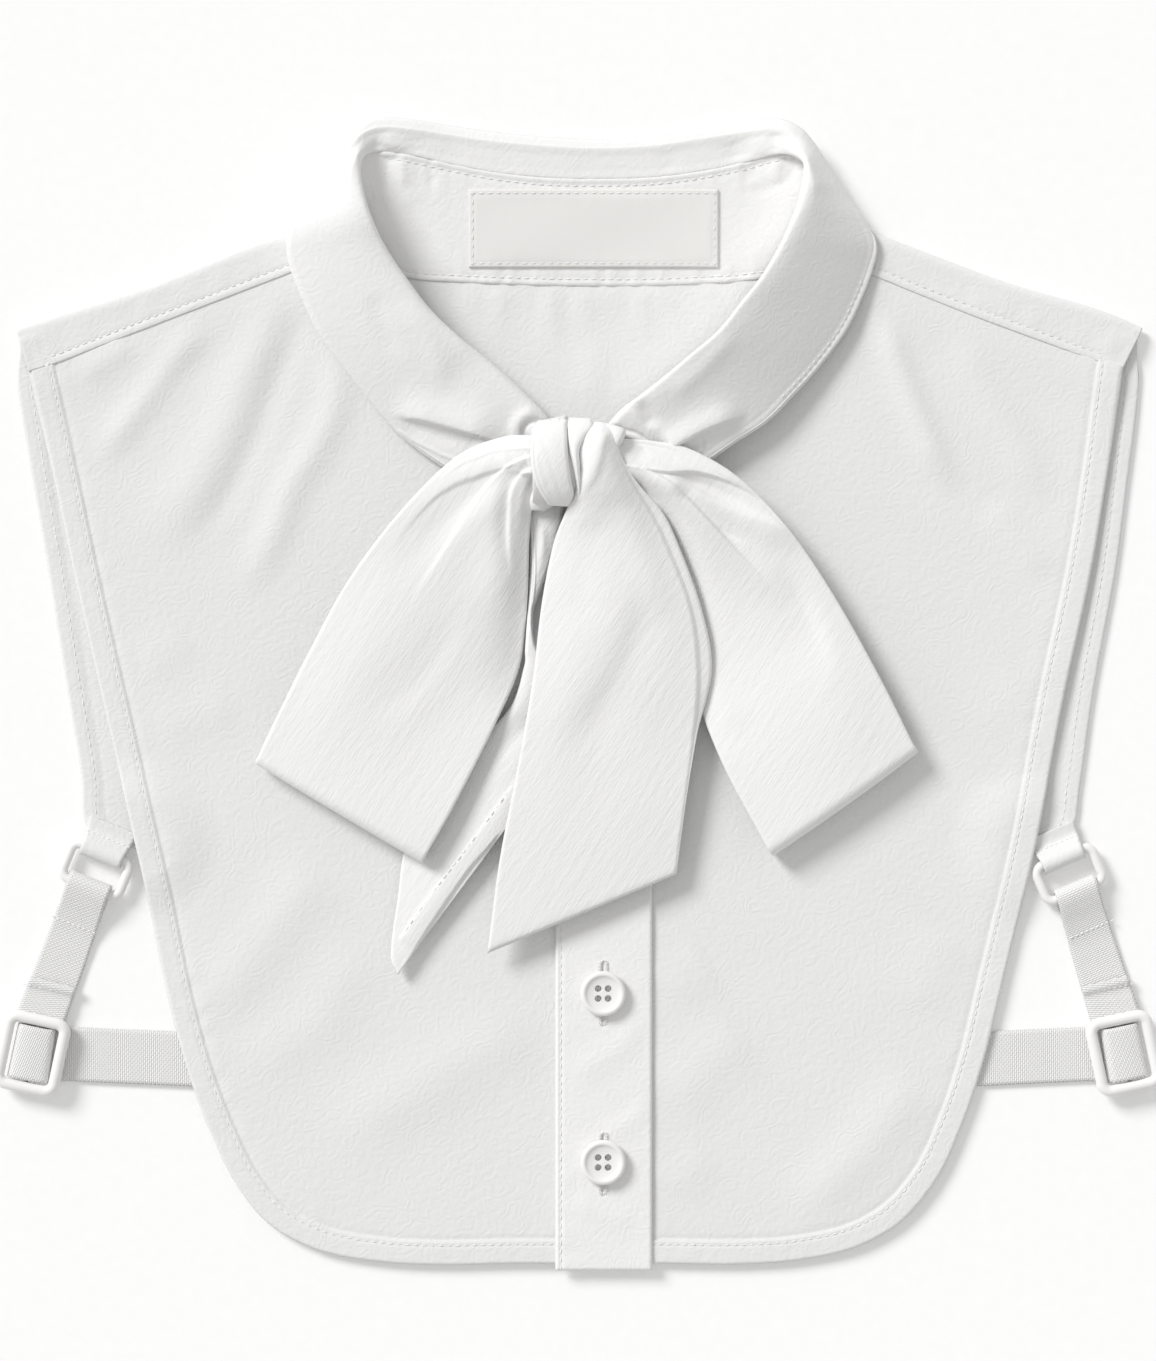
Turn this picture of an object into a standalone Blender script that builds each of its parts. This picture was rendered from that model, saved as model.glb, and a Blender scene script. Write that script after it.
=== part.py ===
"""Detachable shirt collar: a short cotton front and back, a turned-down collar, a tie bow and elastics.

The garment lies flat on its back panel. Lengths below are millimetres, +Z is up from the surface that
it lies on, +Y runs from the hem to the neck, and the origin is on the surface below the middle of the
garment. Every cloth piece is an open sheet, worked out from the tables of its sections, with Solidify
for its wall.
"""

from collections import namedtuple
from math import cos, exp, hypot, pi, radians, sin

import bmesh
import bpy
import numpy as np
from mathutils import Matrix, Vector

MM = 0.001

# Walls and clearances.
PANEL_WALL = 1.2
PLACKET_WALL = 1.4
LABEL_WALL = 1.0
ELASTIC_WALL = 1.0
SEAM_GAP = 0.3

# Heights of the middle of each wall.
BACK_Z = PANEL_WALL / 2
FRONT_OVER_BACK_Z = BACK_Z + PANEL_WALL + SEAM_GAP
SHOULDER_BEND = 1.15  # radius of the fold over the shoulder, at the middle of the wall
SHOULDER_Z = BACK_Z + 2 * SHOULDER_BEND
ELASTIC_LOW_Z = ELASTIC_WALL / 2 + 0.13

FRONT_HEM = 7.2  # width of the turned edge

# The back's hem, the elastics and the placket, across or along the garment.
BACK_HEM_Y = -50.0
STEP_START, STEP_LENGTH = 8.0, 20.0  # past the back's hem the front comes down over this length
PLACKET_STEP_LAG = 8.0  # the placket comes down this much later, clear of the fronts
CENTRE_X = -3.2  # the fronts meet here, under the placket
HEM_Y = -169.8
PLACKET_LEFT, PLACKET_RIGHT = -6.8, 22.2
PLACKET_TOP, PLACKET_BOTTOM = 68.0, -171.6
LABEL_LEFT, LABEL_RIGHT = -32.7, 42.0
LABEL_TOP, LABEL_BOTTOM = 151.6, 128.4
ELASTIC_WIDTH = 15.3
ELASTIC_WIDTH_IN_RING = 13.0
UPPER_ELASTIC_FOLD = 0.66  # radius of its fold, at the middle of the wall
LOWER_ELASTIC_Y = -108.9
LOWER_ELASTIC_TUCK = 6.0  # how far its end goes in under the front
ELASTIC_LIFT_REACH = 34.0  # the front's edge is raised this far around the lower elastic's end
TAB_LIFT, TAB_LIFT_REACH = 1.5, 26.0  # and this far over the end of the tab

# Faces of the sheets, across and along them.
FRONT_COLUMNS, FRONT_ROWS, HEM_COLUMNS = 11, 22, 1
NECK_SHARE = 0.24  # of a front's rows that end on its neckline
FAN_Y = -132.0  # the rows that fan round a front's lower corner end from here up
BACK_COLUMNS, BACK_ROWS, SHOULDER_COLUMNS = 24, 15, 7
BEND_ROWS, FLAP_ROWS = 4, 6
BACK_CORNER_ROW = 7  # row of BACK_EDGE where the armhole turns into the hem
PLACKET_ROWS = 16
FALL_COLUMNS, FALL_ROWS = 46, 13
FALL_EDGE_Z = 4.8
FALL_UNDER_Z = BACK_Z + 0.25
LOOP_COLUMNS, LOOP_ROWS = 12, 24
TAIL_COLUMNS, TAIL_ROWS, LIP_COLUMNS = 12, 20, 2
TAIL_EDGE = 0.3  # least width beside the front tail's second edge
KNOT_SIDES = 20

# Buttons: sew-through, four holes.
BUTTON_RADIUS = 6.7
BUTTON_HEIGHT = 2.8
BUTTON_HOLE_RADIUS = 0.95
BUTTON_HOLE_REACH = 2.1  # from the middle to each hole
BUTTON_X = 7.5
BUTTON_YS = {"button_upper": -88.6, "button_lower": -139.0}

# Rings and sliders, of round plastic bar.
RING_SIZE = (19.6, 13.2)
RING_BAR = 1.25  # radius of the bar
RING_CORNER = 2.3
RING_Z = 2.85
SLIDER_SIZE = (19.4, 22.4)
SLIDER_BAR = 1.6
SLIDER_CORNER = 2.4
SLIDER_Z = 4.3
SLIDER_MIDDLE_BAR = 0.8
SLIDER_MIDDLE_Z = 3.0

Side = namedtuple("Side", "name sign ring ring_turn slider slider_turn front_edge_x tab_end")
SIDES = (
    Side("left", -1, (-144.3, -51.8), -22, (-163.3, -106.7), -12, -117.6, (-132.6, -43.0)),
    Side("right", 1, (147.0, -53.2), 23, (163.3, -106.6), 12, 121.4, (136.4, -45.0)),
)

# Outer edge of each front, from the shoulder seam down the armhole and round to the middle of the hem.
FRONT_EDGE = {
    "left": (
        (-164.1, 98.2), (-158.4, 72.5), (-151.8, 41.0), (-136.8, -25.1), (-129.3, -58.1), (-121.8, -94.1),
        (-116.4, -113.6), (-109.5, -131.6), (-102.0, -146.6), (-92.4, -158.0), (-80.1, -164.9), (-59.1, -169.3),
        (-41.7, -170.2), (-20.0, HEM_Y),
    ),
    "right": (
        (162.6, 98.4), (158.1, 65.0), (154.2, 41.0), (145.2, -1.1), (136.5, -46.1), (126.6, -88.1),
        (121.5, -109.1), (115.5, -127.1), (107.1, -145.1), (95.1, -158.6), (84.6, -164.4), (66.6, -168.7),
        (48.6, -170.0), (26.0, HEM_Y),
    ),
}
# Inner edge of each front: the neckline, which the collar covers, and the straight middle edge.
FRONT_NECK = {
    "left": ((-72.9, 131.4), (-67.8, 119.0), (-57.9, 105.5), (-44.4, 91.4), (-29.4, 80.0), (-14.4, 72.6)),
    "right": ((78.0, 129.6), (73.5, 119.0), (63.0, 105.5), (48.6, 91.4), (33.0, 80.0), (16.0, 72.6)),
}
# Outer edge of each half of the back, from the shoulder tip to the corner of its hem, and its hem to
# the middle.
BACK_EDGE = {
    "left": (
        (-168.6, 107.4), (-168.3, 96.5), (-165.0, 74.0), (-159.6, 42.5), (-153.1, 2.0), (-148.8, -25.1),
        (-147.6, -38.0), (-145.2, -41.8), (-132.9, -45.6), (-98.4, -49.4), (-50.0, BACK_HEM_Y),
    ),
    "right": (
        (168.9, 107.6), (168.3, 95.0), (164.1, 59.0), (162.0, 42.5), (154.2, -1.0), (150.4, -28.0),
        (148.6, -39.0), (146.2, -42.6), (133.5, -46.0), (98.4, -49.4), (50.0, BACK_HEM_Y),
    ),
}
# Line of the fold over each shoulder, from its tip to the neck, and of the seam in front of it.
SHOULDER_FOLD = {
    "left": ((-168.0, 109.4), (-161.4, 111.6), (-128.4, 122.0), (-98.4, 134.0), (-76.0, 141.6)),
    "right": ((168.6, 109.4), (162.0, 112.4), (126.6, 123.5), (102.6, 132.5), (79.0, 141.6)),
}
SHOULDER_SEAM = {
    "left": ((-164.3, 98.9), (-156.3, 100.0), (-128.4, 111.3), (-98.4, 122.1), (-73.1, 132.1)),
    "right": ((162.9, 99.1), (156.0, 100.2), (138.6, 106.5), (114.6, 115.5), (78.2, 130.3)),
}
# Back neckline from each shoulder to the middle, under the stand.
BACK_NECK = {
    "left": ((-74.0, 140.4), (-70.5, 134.0), (-62.0, 128.0), (-50.0, 126.0), (-25.0, 124.6), (3.6, 124.2)),
    "right": ((77.0, 140.4), (74.0, 134.0), (66.0, 128.4), (54.0, 126.4), (30.0, 124.8), (3.6, 124.2)),
}

# Collar stand where it lies open behind the neck: x of a section, y of its lower and of its upper seam,
# and how high its upper seam lies.
StandSection = namedtuple("StandSection", "x lower upper upper_z")
STAND = (
    StandSection(-66.0, 137.0, 158.4, 2.9),
    StandSection(-62.0, 130.5, 160.8, 3.9),
    StandSection(-56.0, 126.2, 161.5, 5.2),
    StandSection(-46.0, 124.4, 160.3, 6.0),
    StandSection(-30.0, 123.6, 157.7, 6.2),
    StandSection(-6.0, 122.9, 155.0, 6.2),
    StandSection(20.0, 122.9, 154.7, 6.2),
    StandSection(42.0, 123.6, 157.4, 6.2),
    StandSection(56.0, 125.0, 160.8, 5.8),
    StandSection(62.0, 127.4, 161.2, 4.9),
    StandSection(66.0, 131.5, 160.2, 3.9),
    StandSection(69.5, 138.0, 156.6, 2.9),
)
STAND_LOWER_Z = 2.4

# Collar fall, from the left of the knot round behind the neck to the right of the knot. Each section
# has its roll (or, behind the neck, its seam with the stand), the outermost line that shows, its free
# edge, how far it has turned from lying on the front (0) to lying under the stand (1), and how much
# higher than on the left its roll stands.
FallSection = namedtuple("FallSection", "roll outer edge turned lift")
FALL = (
    FallSection((-10.6, 85.2), (-13.0, 82.8), (-16.6, 79.2), 0.0, 0.0),
    FallSection((-17.4, 90.6), (-24.5, 84.2), (-33.0, 75.4), 0.0, 0.0),
    FallSection((-29.4, 102.4), (-39.0, 94.0), (-51.0, 82.0), 0.0, 0.0),
    FallSection((-44.4, 118.0), (-55.0, 110.0), (-68.4, 97.4), 0.0, 0.0),
    FallSection((-54.3, 131.5), (-65.5, 125.0), (-79.8, 115.4), 0.0, 0.0),
    FallSection((-60.0, 143.0), (-72.0, 140.5), (-86.4, 133.4), 0.0, 0.0),
    FallSection((-62.6, 150.0), (-74.0, 149.5), (-85.8, 140.6), 0.05, 0.0),
    FallSection((-64.6, 156.0), (-78.4, 152.6), (-78.6, 147.0), 0.45, 0.0),
    FallSection((-65.2, 160.4), (-72.0, 160.4), (-71.2, 146.6), 0.8, 0.0),
    FallSection((-63.0, 162.8), (-65.4, 168.6), (-64.0, 134.0), 1.0, 0.0),
    FallSection((-55.0, 162.6), (-56.0, 171.4), (-54.0, 129.6), 1.0, 0.0),
    FallSection((-38.4, 160.0), (-38.4, 168.4), (-38.0, 128.4), 1.0, 0.0),
    FallSection((-17.4, 156.8), (-17.4, 165.4), (-17.4, 127.4), 1.0, 0.0),
    FallSection((3.6, 155.6), (3.6, 164.2), (3.6, 127.0), 1.0, 0.0),
    FallSection((24.6, 156.2), (24.6, 165.6), (24.6, 127.4), 1.0, 0.0),
    FallSection((42.6, 158.6), (42.6, 168.1), (42.0, 128.4), 1.0, 0.0),
    FallSection((59.0, 162.4), (60.0, 170.9), (58.0, 129.8), 1.0, 0.4),
    FallSection((66.4, 162.4), (69.4, 167.4), (67.0, 134.0), 1.0, 1.2),
    FallSection((68.6, 159.6), (75.4, 158.4), (74.0, 146.6), 0.8, 3.0),
    FallSection((68.0, 154.6), (81.8, 149.6), (81.6, 146.0), 0.45, 5.5),
    FallSection((66.0, 148.0), (77.0, 147.0), (88.0, 140.2), 0.05, 7.6),
    FallSection((62.4, 140.4), (74.0, 137.5), (88.8, 131.4), 0.0, 8.4),
    FallSection((53.1, 127.0), (66.0, 119.0), (83.4, 112.4), 0.0, 8.4),
    FallSection((42.6, 114.4), (55.5, 105.0), (73.0, 96.6), 0.0, 8.2),
    FallSection((28.8, 99.0), (41.0, 90.5), (56.4, 80.6), 0.0, 6.4),
    FallSection((18.0, 89.4), (27.0, 82.5), (38.4, 72.6), 0.0, 2.4),
    FallSection((11.6, 84.4), (14.2, 81.6), (18.2, 78.4), 0.0, 0.0),
)
FALL_END_Z = 2.2  # the fall's ends rise by this where they gather into the knot

# Bow ribbons, from the knot outwards. Each section has its two edges, as seen from above, and the height
# of the middle of its wall at the first edge, halfway and at the second edge.
Ribbon = namedtuple("Ribbon", "first second first_z middle_z second_z")
LOOP = {
    "loop_left": (
        Ribbon((-15.0, 76.0), (-15.0, 59.4), 14.0, 16.5, 12.0),
        Ribbon((-23.4, 77.0), (-15.4, 54.5), 12.6, 17.6, 10.4),
        Ribbon((-36.9, 71.0), (-15.9, 45.5), 11.2, 17.0, 9.4),
        Ribbon((-53.4, 54.5), (-16.4, 29.0), 10.2, 15.6, 9.0),
        Ribbon((-68.4, 34.4), (-18.3, 11.0), 9.6, 13.8, 8.9),
        Ribbon((-80.4, 12.5), (-24.3, -7.7), 9.3, 12.0, 8.9),
        Ribbon((-90.9, -8.6), (-36.9, -32.6), 9.2, 10.6, 8.9),
        Ribbon((-95.1, -17.6), (-44.7, -46.4), 9.0, 9.3, 9.0),
    ),
    "loop_right": (
        Ribbon((13.8, 75.4), (13.8, 59.6), 12.6, 14.0, 10.0),
        Ribbon((21.6, 76.0), (22.2, 55.4), 12.6, 15.0, 8.2),
        Ribbon((33.6, 73.4), (27.0, 45.5), 12.0, 15.6, 7.4),
        Ribbon((48.6, 64.4), (30.6, 32.0), 11.2, 14.6, 7.0),
        Ribbon((63.6, 48.5), (33.0, 17.0), 10.4, 13.4, 6.8),
        Ribbon((77.1, 28.4), (34.8, 2.0), 9.7, 12.0, 7.2),
        Ribbon((90.6, 4.1), (43.2, -20.6), 9.3, 11.0, 7.9),
        Ribbon((99.7, -14.1), (56.2, -45.0), 9.0, 9.3, 9.0),
    ),
}
LOOP_UNDER_Z = 5.6  # the layer that comes back under the loop
LOOP_UNDER_ROOT_Z = 8.0  # where that layer meets the knot
LOOP_UNDER_INSET = 0.06  # of the width, so that it stays hidden
LOOP_TOP_SHARE, LOOP_BEND_SHARE = 0.6, 0.15  # of the loop's rows, on top and round its end
TAIL_FRONT = (
    Ribbon((0.0, 81.4), (10.4, 80.6), 14.6, 15.0, 14.6),
    Ribbon((-1.6, 76.4), (11.2, 76.6), 19.6, 20.4, 19.0),
    Ribbon((-1.8, 68.0), (12.4, 71.0), 21.6, 21.8, 20.0),
    Ribbon((-2.1, 57.5), (16.2, 62.6), 19.6, 20.6, 18.4),
    Ribbon((-7.5, 44.6), (25.8, 46.1), 10.8, 16.0, 15.0),
    Ribbon((-10.8, 27.5), (33.3, 26.6), 8.4, 13.6, 13.9),
    Ribbon((-13.5, 5.0), (35.7, 8.0), 7.8, 12.0, 12.8),
    Ribbon((-17.4, -17.6), (34.5, -11.6), 7.6, 10.4, 9.6),
    Ribbon((-23.4, -49.1), (31.8, -32.6), 7.4, 9.2, 7.8),
    Ribbon((-27.0, -76.4), (29.1, -53.0), 7.4, 8.4, 7.6),
)
# Width of the under layer that shows beside the second edge, at each section.
TAIL_LIP = (0.0, 0.0, 0.0, 0.9, 3.0, 3.3, 2.2, 0.0, 0.0, 0.0)
TAIL_LIP_DROP = 1.9
TAIL_BACK = (
    Ribbon((-14.1, 55.6), (-4.8, 55.6), 7.2, 8.2, 7.2),
    Ribbon((-14.7, 41.0), (-6.6, 44.6), 5.4, 6.6, 5.4),
    Ribbon((-15.6, 23.0), (-7.8, 29.0), 4.2, 5.2, 5.2),
    Ribbon((-15.3, 7.4), (-6.8, 17.0), 3.9, 4.5, 5.2),
    Ribbon((-36.9, -20.6), (-7.0, 8.0), 3.9, 3.9, 5.2),
    Ribbon((-50.4, -41.0), (-8.0, 0.5), 4.0, 3.9, 5.2),
    Ribbon((-54.0, -61.0), (-9.6, -7.0), 4.2, 3.8, 5.2),
    Ribbon((-56.2, -81.6), (-11.4, -14.5), 3.4, 3.9, 5.2),
)

# Pleats that run out from the knot: place across the ribbon at the knot and at the far end, height,
# width and reach along the ribbon, all but the height as fractions of the ribbon.
Pleat = namedtuple("Pleat", "at_knot at_end height width reach")
PLEATS = {
    "loop_left": (
        Pleat(0.34, 0.05, -4.2, 0.085, 0.62),
        Pleat(0.18, 0.00, 1.6, 0.09, 0.40),
        Pleat(0.74, 0.80, -3.0, 0.08, 0.60),
        Pleat(0.90, 0.92, 1.6, 0.07, 0.45),
    ),
    "loop_right": (
        Pleat(0.36, 0.30, -3.6, 0.08, 0.55),
        Pleat(0.20, 0.10, 1.4, 0.09, 0.42),
        Pleat(0.68, 0.42, -2.4, 0.09, 0.72),
        Pleat(0.54, 0.30, 1.6, 0.08, 0.60),
    ),
    "tail_front": (Pleat(0.20, 0.30, -0.8, 0.10, 0.60), Pleat(0.62, 0.60, 0.8, 0.12, 0.80)),
    "tail_back": (),
}

# Knot: x of a section, its middle and half sizes along y and z.
KnotSection = namedtuple("KnotSection", "x middle_y half_y middle_z half_z")
KNOT = (
    KnotSection(-14.0, 68.4, 9.6, 13.6, 6.4),
    KnotSection(-13.2, 68.6, 11.9, 13.8, 8.4),
    KnotSection(-10.5, 68.8, 12.7, 14.0, 9.2),
    KnotSection(-6.5, 68.8, 12.8, 14.0, 9.4),
    KnotSection(-3.6, 68.8, 12.4, 14.0, 9.0),
    KnotSection(-2.6, 69.2, 10.6, 13.0, 6.2),
    KnotSection(4.0, 69.2, 10.0, 12.6, 5.2),
    KnotSection(9.0, 69.0, 9.2, 12.2, 4.8),
    KnotSection(13.2, 68.4, 7.6, 12.0, 4.2),
)

Finish = namedtuple("Finish", "colour roughness")
FINISHES = {
    "cotton": Finish((0.87, 0.868, 0.862), 0.82),
    "label_cloth": Finish((0.80, 0.79, 0.77), 0.78),
    "elastic": Finish((0.84, 0.838, 0.83), 0.85),
    "white_plastic": Finish((0.86, 0.86, 0.855), 0.38),
}


class Path:
    """A smooth curve through rows of values, read at a place along it (if not given, its length)."""

    def __init__(self, rows, places=None):
        self.rows = np.array(rows, float)
        if places is None:
            steps = np.linalg.norm(np.diff(self.rows[:, :2], axis=0), axis=1)
            places = np.concatenate([[0.0], np.cumsum(steps)])
        self.places = np.array(places, float)
        steps = np.diff(self.places)
        slopes = np.diff(self.rows, axis=0) / steps[:, None]
        inner = slopes[:-1] * steps[1:, None] + slopes[1:] * steps[:-1, None]
        inner = inner / (steps[:-1] + steps[1:])[:, None]
        self.slopes = np.concatenate([slopes[:1], inner, slopes[-1:]])

    def value(self, place):
        place = min(max(place, self.places[0]), self.places[-1])
        i = min(int(np.searchsorted(self.places, place, side="right")) - 1, len(self.places) - 2)
        step = self.places[i + 1] - self.places[i]
        f = (place - self.places[i]) / step
        return (
            self.rows[i] * (2 * f**3 - 3 * f**2 + 1)
            + self.rows[i + 1] * (3 * f**2 - 2 * f**3)
            + (self.slopes[i] * (f**3 - 2 * f**2 + f) + self.slopes[i + 1] * (f**3 - f**2)) * step
        )

    def at(self, share):
        return self.value(self.places[0] + share * (self.places[-1] - self.places[0]))

    def inward(self, share, sign):
        """The unit normal in the plane, to the side that sign gives."""
        along = self.at(min(share + 0.004, 1.0)) - self.at(max(share - 0.004, 0.0))
        along /= np.linalg.norm(along[:2])
        return np.array([along[1], -along[0]]) * sign


def ease(value, low=0.0, high=1.0):
    """0 below low, 1 above high, and a smooth step between them."""
    share = min(max((value - low) / (high - low), 0.0), 1.0)
    return share * share * (3 - 2 * share)


def mix(start, end, share):
    return np.asarray(start, float) * (1 - share) + np.asarray(end, float) * share


def turned(degrees):
    """The unit vectors along and across something turned by this angle in the plane."""
    angle = radians(degrees)
    return np.array([cos(angle), sin(angle)]), np.array([-sin(angle), cos(angle)])


def arc(centre, radius, start, end, steps):
    """Points on an arc in the plane of a strip's section, with the angles in degrees."""
    angles = [radians(start + (end - start) * step / steps) for step in range(steps + 1)]
    return [(centre[0] + radius * cos(angle), centre[1] + radius * sin(angle)) for angle in angles]


def material(name):
    made = bpy.data.materials.get(name) or bpy.data.materials.new(name)
    finish = FINISHES[name]
    made.use_nodes = True
    shader = made.node_tree.nodes["Principled BSDF"]
    shader.inputs["Base Color"].default_value = (*finish.colour, 1)
    shader.inputs["Roughness"].default_value = finish.roughness
    shader.inputs["Metallic"].default_value = 0.0
    return made


def add_object(name, data, finish, collection):
    made = bpy.data.objects.new(name, data)
    if finish:
        data.materials.clear()
        data.materials.append(material(finish))
    collection.objects.link(made)
    return made


def grid_mesh(name, columns, rows, surface, leave_out=None, closed=False):
    """A grid whose points surface(u, v) places, in millimetres; v is 0 in its first row, 1 in its last."""
    shape = bmesh.new()
    bmesh.ops.create_grid(shape, x_segments=columns, y_segments=rows, size=0.5)
    shares = {point: (point.co.x + 0.5, 0.5 - point.co.y) for point in shape.verts}
    if leave_out:
        middles = {face: face.calc_center_median() for face in shape.faces}
        spare = [face for face, middle in middles.items() if leave_out(middle.x + 0.5, 0.5 - middle.y)]
        bmesh.ops.delete(shape, geom=spare, context="FACES")
    for point in shape.verts:
        point.co = Vector(surface(*shares[point])) * MM
    if closed:
        bmesh.ops.remove_doubles(shape, verts=shape.verts, dist=1e-6)
        bmesh.ops.holes_fill(shape, edges=[edge for edge in shape.edges if edge.is_boundary])
    bmesh.ops.recalc_face_normals(shape, faces=shape.faces)
    mesh = bpy.data.meshes.new(name)
    shape.to_mesh(mesh)
    shape.free()
    mesh.shade_smooth()
    return mesh


def add_sheet(name, columns, rows, surface, wall, finish, collection, leave_out=None):
    """A cloth piece: an open grid with a wall of even thickness about it."""
    made = add_object(name, grid_mesh(name, columns, rows, surface, leave_out), finish, collection)
    solidify = made.modifiers.new("wall", "SOLIDIFY")
    solidify.thickness = wall * MM
    solidify.offset = 0
    return made


# Panels


def near(x, y, centre, reach):
    """1 over a place in the plane and 0 past its reach."""
    return ease(reach - hypot(x - centre[0], y - centre[1]), 0, reach * 0.6)


def front_z(x, y):
    """Height of the middle of the fronts' wall: over the back, down past it, up over what is sewn below."""
    side = SIDES[0 if x < 0 else 1]
    over_back = ease(y, BACK_HEM_Y - STEP_START - STEP_LENGTH, BACK_HEM_Y - STEP_START)
    over_elastic = near(x, y, (side.front_edge_x, LOWER_ELASTIC_Y), ELASTIC_LIFT_REACH)
    z = BACK_Z + (FRONT_OVER_BACK_Z - BACK_Z) * max(over_back, over_elastic)
    return z + TAB_LIFT * near(x, y, side.tab_end, TAB_LIFT_REACH)


def front_surface(side):
    """Rows run from the armhole and the hem, square to it for the hem's width, to the front's middle."""
    middle_x = CENTRE_X + side.sign * SEAM_GAP / 2
    edge = Path((*FRONT_EDGE[side.name], (middle_x, HEM_Y)))
    neck, seam = Path(FRONT_NECK[side.name]), Path(SHOULDER_SEAM[side.name])
    seam_points = [seam.at(step / 12) for step in range(13)]
    corner = neck.at(1.0)
    hem_share = HEM_COLUMNS / FRONT_COLUMNS

    def middle_edge(v):
        if v < NECK_SHARE:
            return neck.at(v / NECK_SHARE)
        down = (v - NECK_SHARE) / (1 - NECK_SHARE)
        return mix((mix(corner[0], middle_x, ease(down, 0, 0.08)), corner[1]), (middle_x, FAN_Y), down)

    def plain(u, v):
        outer = edge.at(v)
        hem = outer + edge.inward(v, side.sign) * FRONT_HEM
        if u < hem_share:
            return mix(outer, hem, u / hem_share)
        return mix(hem, middle_edge(v), (u - hem_share) / (1 - hem_share))

    def surface(u, v):
        along_seam = seam.at(u) + seam.inward(u, -side.sign) * 2 * SEAM_GAP
        x, y = plain(u, v) + (along_seam - plain(u, 0)) * (1 - ease(v, 0, 0.12))
        to_seam = min(hypot(x - point[0], y - point[1]) for point in seam_points)
        return x, y, front_z(x, y) + (SHOULDER_Z - FRONT_OVER_BACK_Z) * ease(-to_seam, -18, -4)

    return surface


def add_fronts(collection):
    for side in SIDES:
        name = f"front_{side.name}"
        add_sheet(name, FRONT_COLUMNS, FRONT_ROWS, front_surface(side), PANEL_WALL, "cotton", collection)


def back_surface():
    """The back, with the flaps that go over the shoulders to the forward seams as its first rows."""
    edges = {side.name: Path(BACK_EDGE[side.name]) for side in SIDES}
    folds = {side.name: Path(SHOULDER_FOLD[side.name]) for side in SIDES}
    seams = {side.name: Path(SHOULDER_SEAM[side.name]) for side in SIDES}
    neck = Path(BACK_NECK["left"] + BACK_NECK["right"][-2::-1])
    corner_share = {name: edge.places[BACK_CORNER_ROW] / edge.places[-1] for name, edge in edges.items()}
    hem = Path(BACK_EDGE["left"][BACK_CORNER_ROW:] + BACK_EDGE["right"][: BACK_CORNER_ROW - 1 : -1])
    shoulder = SHOULDER_COLUMNS / BACK_COLUMNS
    body = 1 - FLAP_ROWS / BACK_ROWS

    def fold_place(u):
        """The side and the share along its shoulder, from tip to neck, or no side on the neckline."""
        if u <= shoulder:
            return "left", u / shoulder
        if u >= 1 - shoulder:
            return "right", (1 - u) / shoulder
        return None, (u - shoulder) / (1 - 2 * shoulder)

    def top_edge(u):
        name, share = fold_place(u)
        if name is None:
            return neck.at(share)
        fold, seam = folds[name].at(share), seams[name].at(share)
        return fold + (seam - fold) / np.linalg.norm(seam - fold) * (SHOULDER_BEND + PANEL_WALL / 2)

    def on_body(u, v):
        left = edges["left"].at(v * corner_share["left"])
        right = edges["right"].at(v * corner_share["right"])
        ends = mix(top_edge(0), hem.at(0), v), mix(top_edge(1), hem.at(1), v)
        place = mix(top_edge(u), hem.at(u), v)
        return place + (left - ends[0]) * (1 - u) * ease(v, 0, 0.1) + (right - ends[1]) * u * ease(v, 0, 0.1)

    def surface(u, v):
        if v >= 1 - body:
            return *on_body(u, (v - 1 + body) / body), BACK_Z
        name, share = fold_place(u)
        if name is None:
            return *top_edge(u), BACK_Z
        start, seam = top_edge(u), seams[name].at(share)
        inwards = (seam - start) / np.linalg.norm(seam - start)
        row = (1 - body - v) * BACK_ROWS
        if row <= BEND_ROWS:
            angle = pi * row / BEND_ROWS
            place = start - inwards * SHOULDER_BEND * sin(angle)
            return *place, BACK_Z + SHOULDER_BEND * (1 - cos(angle))
        return *mix(start, seam, (row - BEND_ROWS) / (FLAP_ROWS - BEND_ROWS)), SHOULDER_Z

    def leave_out(u, v):
        return v < 1 - body and fold_place(u)[0] is None

    return surface, leave_out


def add_back(collection):
    surface, leave_out = back_surface()
    add_sheet("back_panel", BACK_COLUMNS, BACK_ROWS, surface, PANEL_WALL, "cotton", collection, leave_out)


def placket_z(y):
    return front_z(CENTRE_X, y + PLACKET_STEP_LAG) + (PANEL_WALL + PLACKET_WALL) / 2 + SEAM_GAP


def add_placket(collection):
    def surface(u, v):
        y = PLACKET_TOP + (PLACKET_BOTTOM - PLACKET_TOP) * v
        return PLACKET_LEFT + (PLACKET_RIGHT - PLACKET_LEFT) * u, y, placket_z(y)

    add_sheet("placket", 3, PLACKET_ROWS, surface, PLACKET_WALL, "cotton", collection)


# Collar

STAND_LINES = Path([row[1:] for row in STAND], [row.x for row in STAND])


def stand_z(x, y):
    lower, upper, upper_z = STAND_LINES.value(x)
    share = min(max((y - lower) / (upper - lower), 0.0), 1.0)
    return STAND_LOWER_Z + (upper_z - STAND_LOWER_Z) * share**1.6


def add_stand(collection):
    def surface(u, v):
        x = STAND[0].x + (STAND[-1].x - STAND[0].x) * u
        lower, upper, _ = STAND_LINES.value(x)
        y = mix(upper, lower, v)
        return x, y, stand_z(x, y)

    add_sheet("collar_stand", 24, 5, surface, PANEL_WALL, "cotton", collection)


def add_label(collection):
    lift = (PANEL_WALL + LABEL_WALL) / 2 + SEAM_GAP

    def surface(u, v):
        x, y = mix(LABEL_LEFT, LABEL_RIGHT, u), mix(LABEL_TOP, LABEL_BOTTOM, v)
        return x, y, stand_z(x, y) + lift

    add_sheet("label", 8, 4, surface, LABEL_WALL, "label_cloth", collection)


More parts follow.
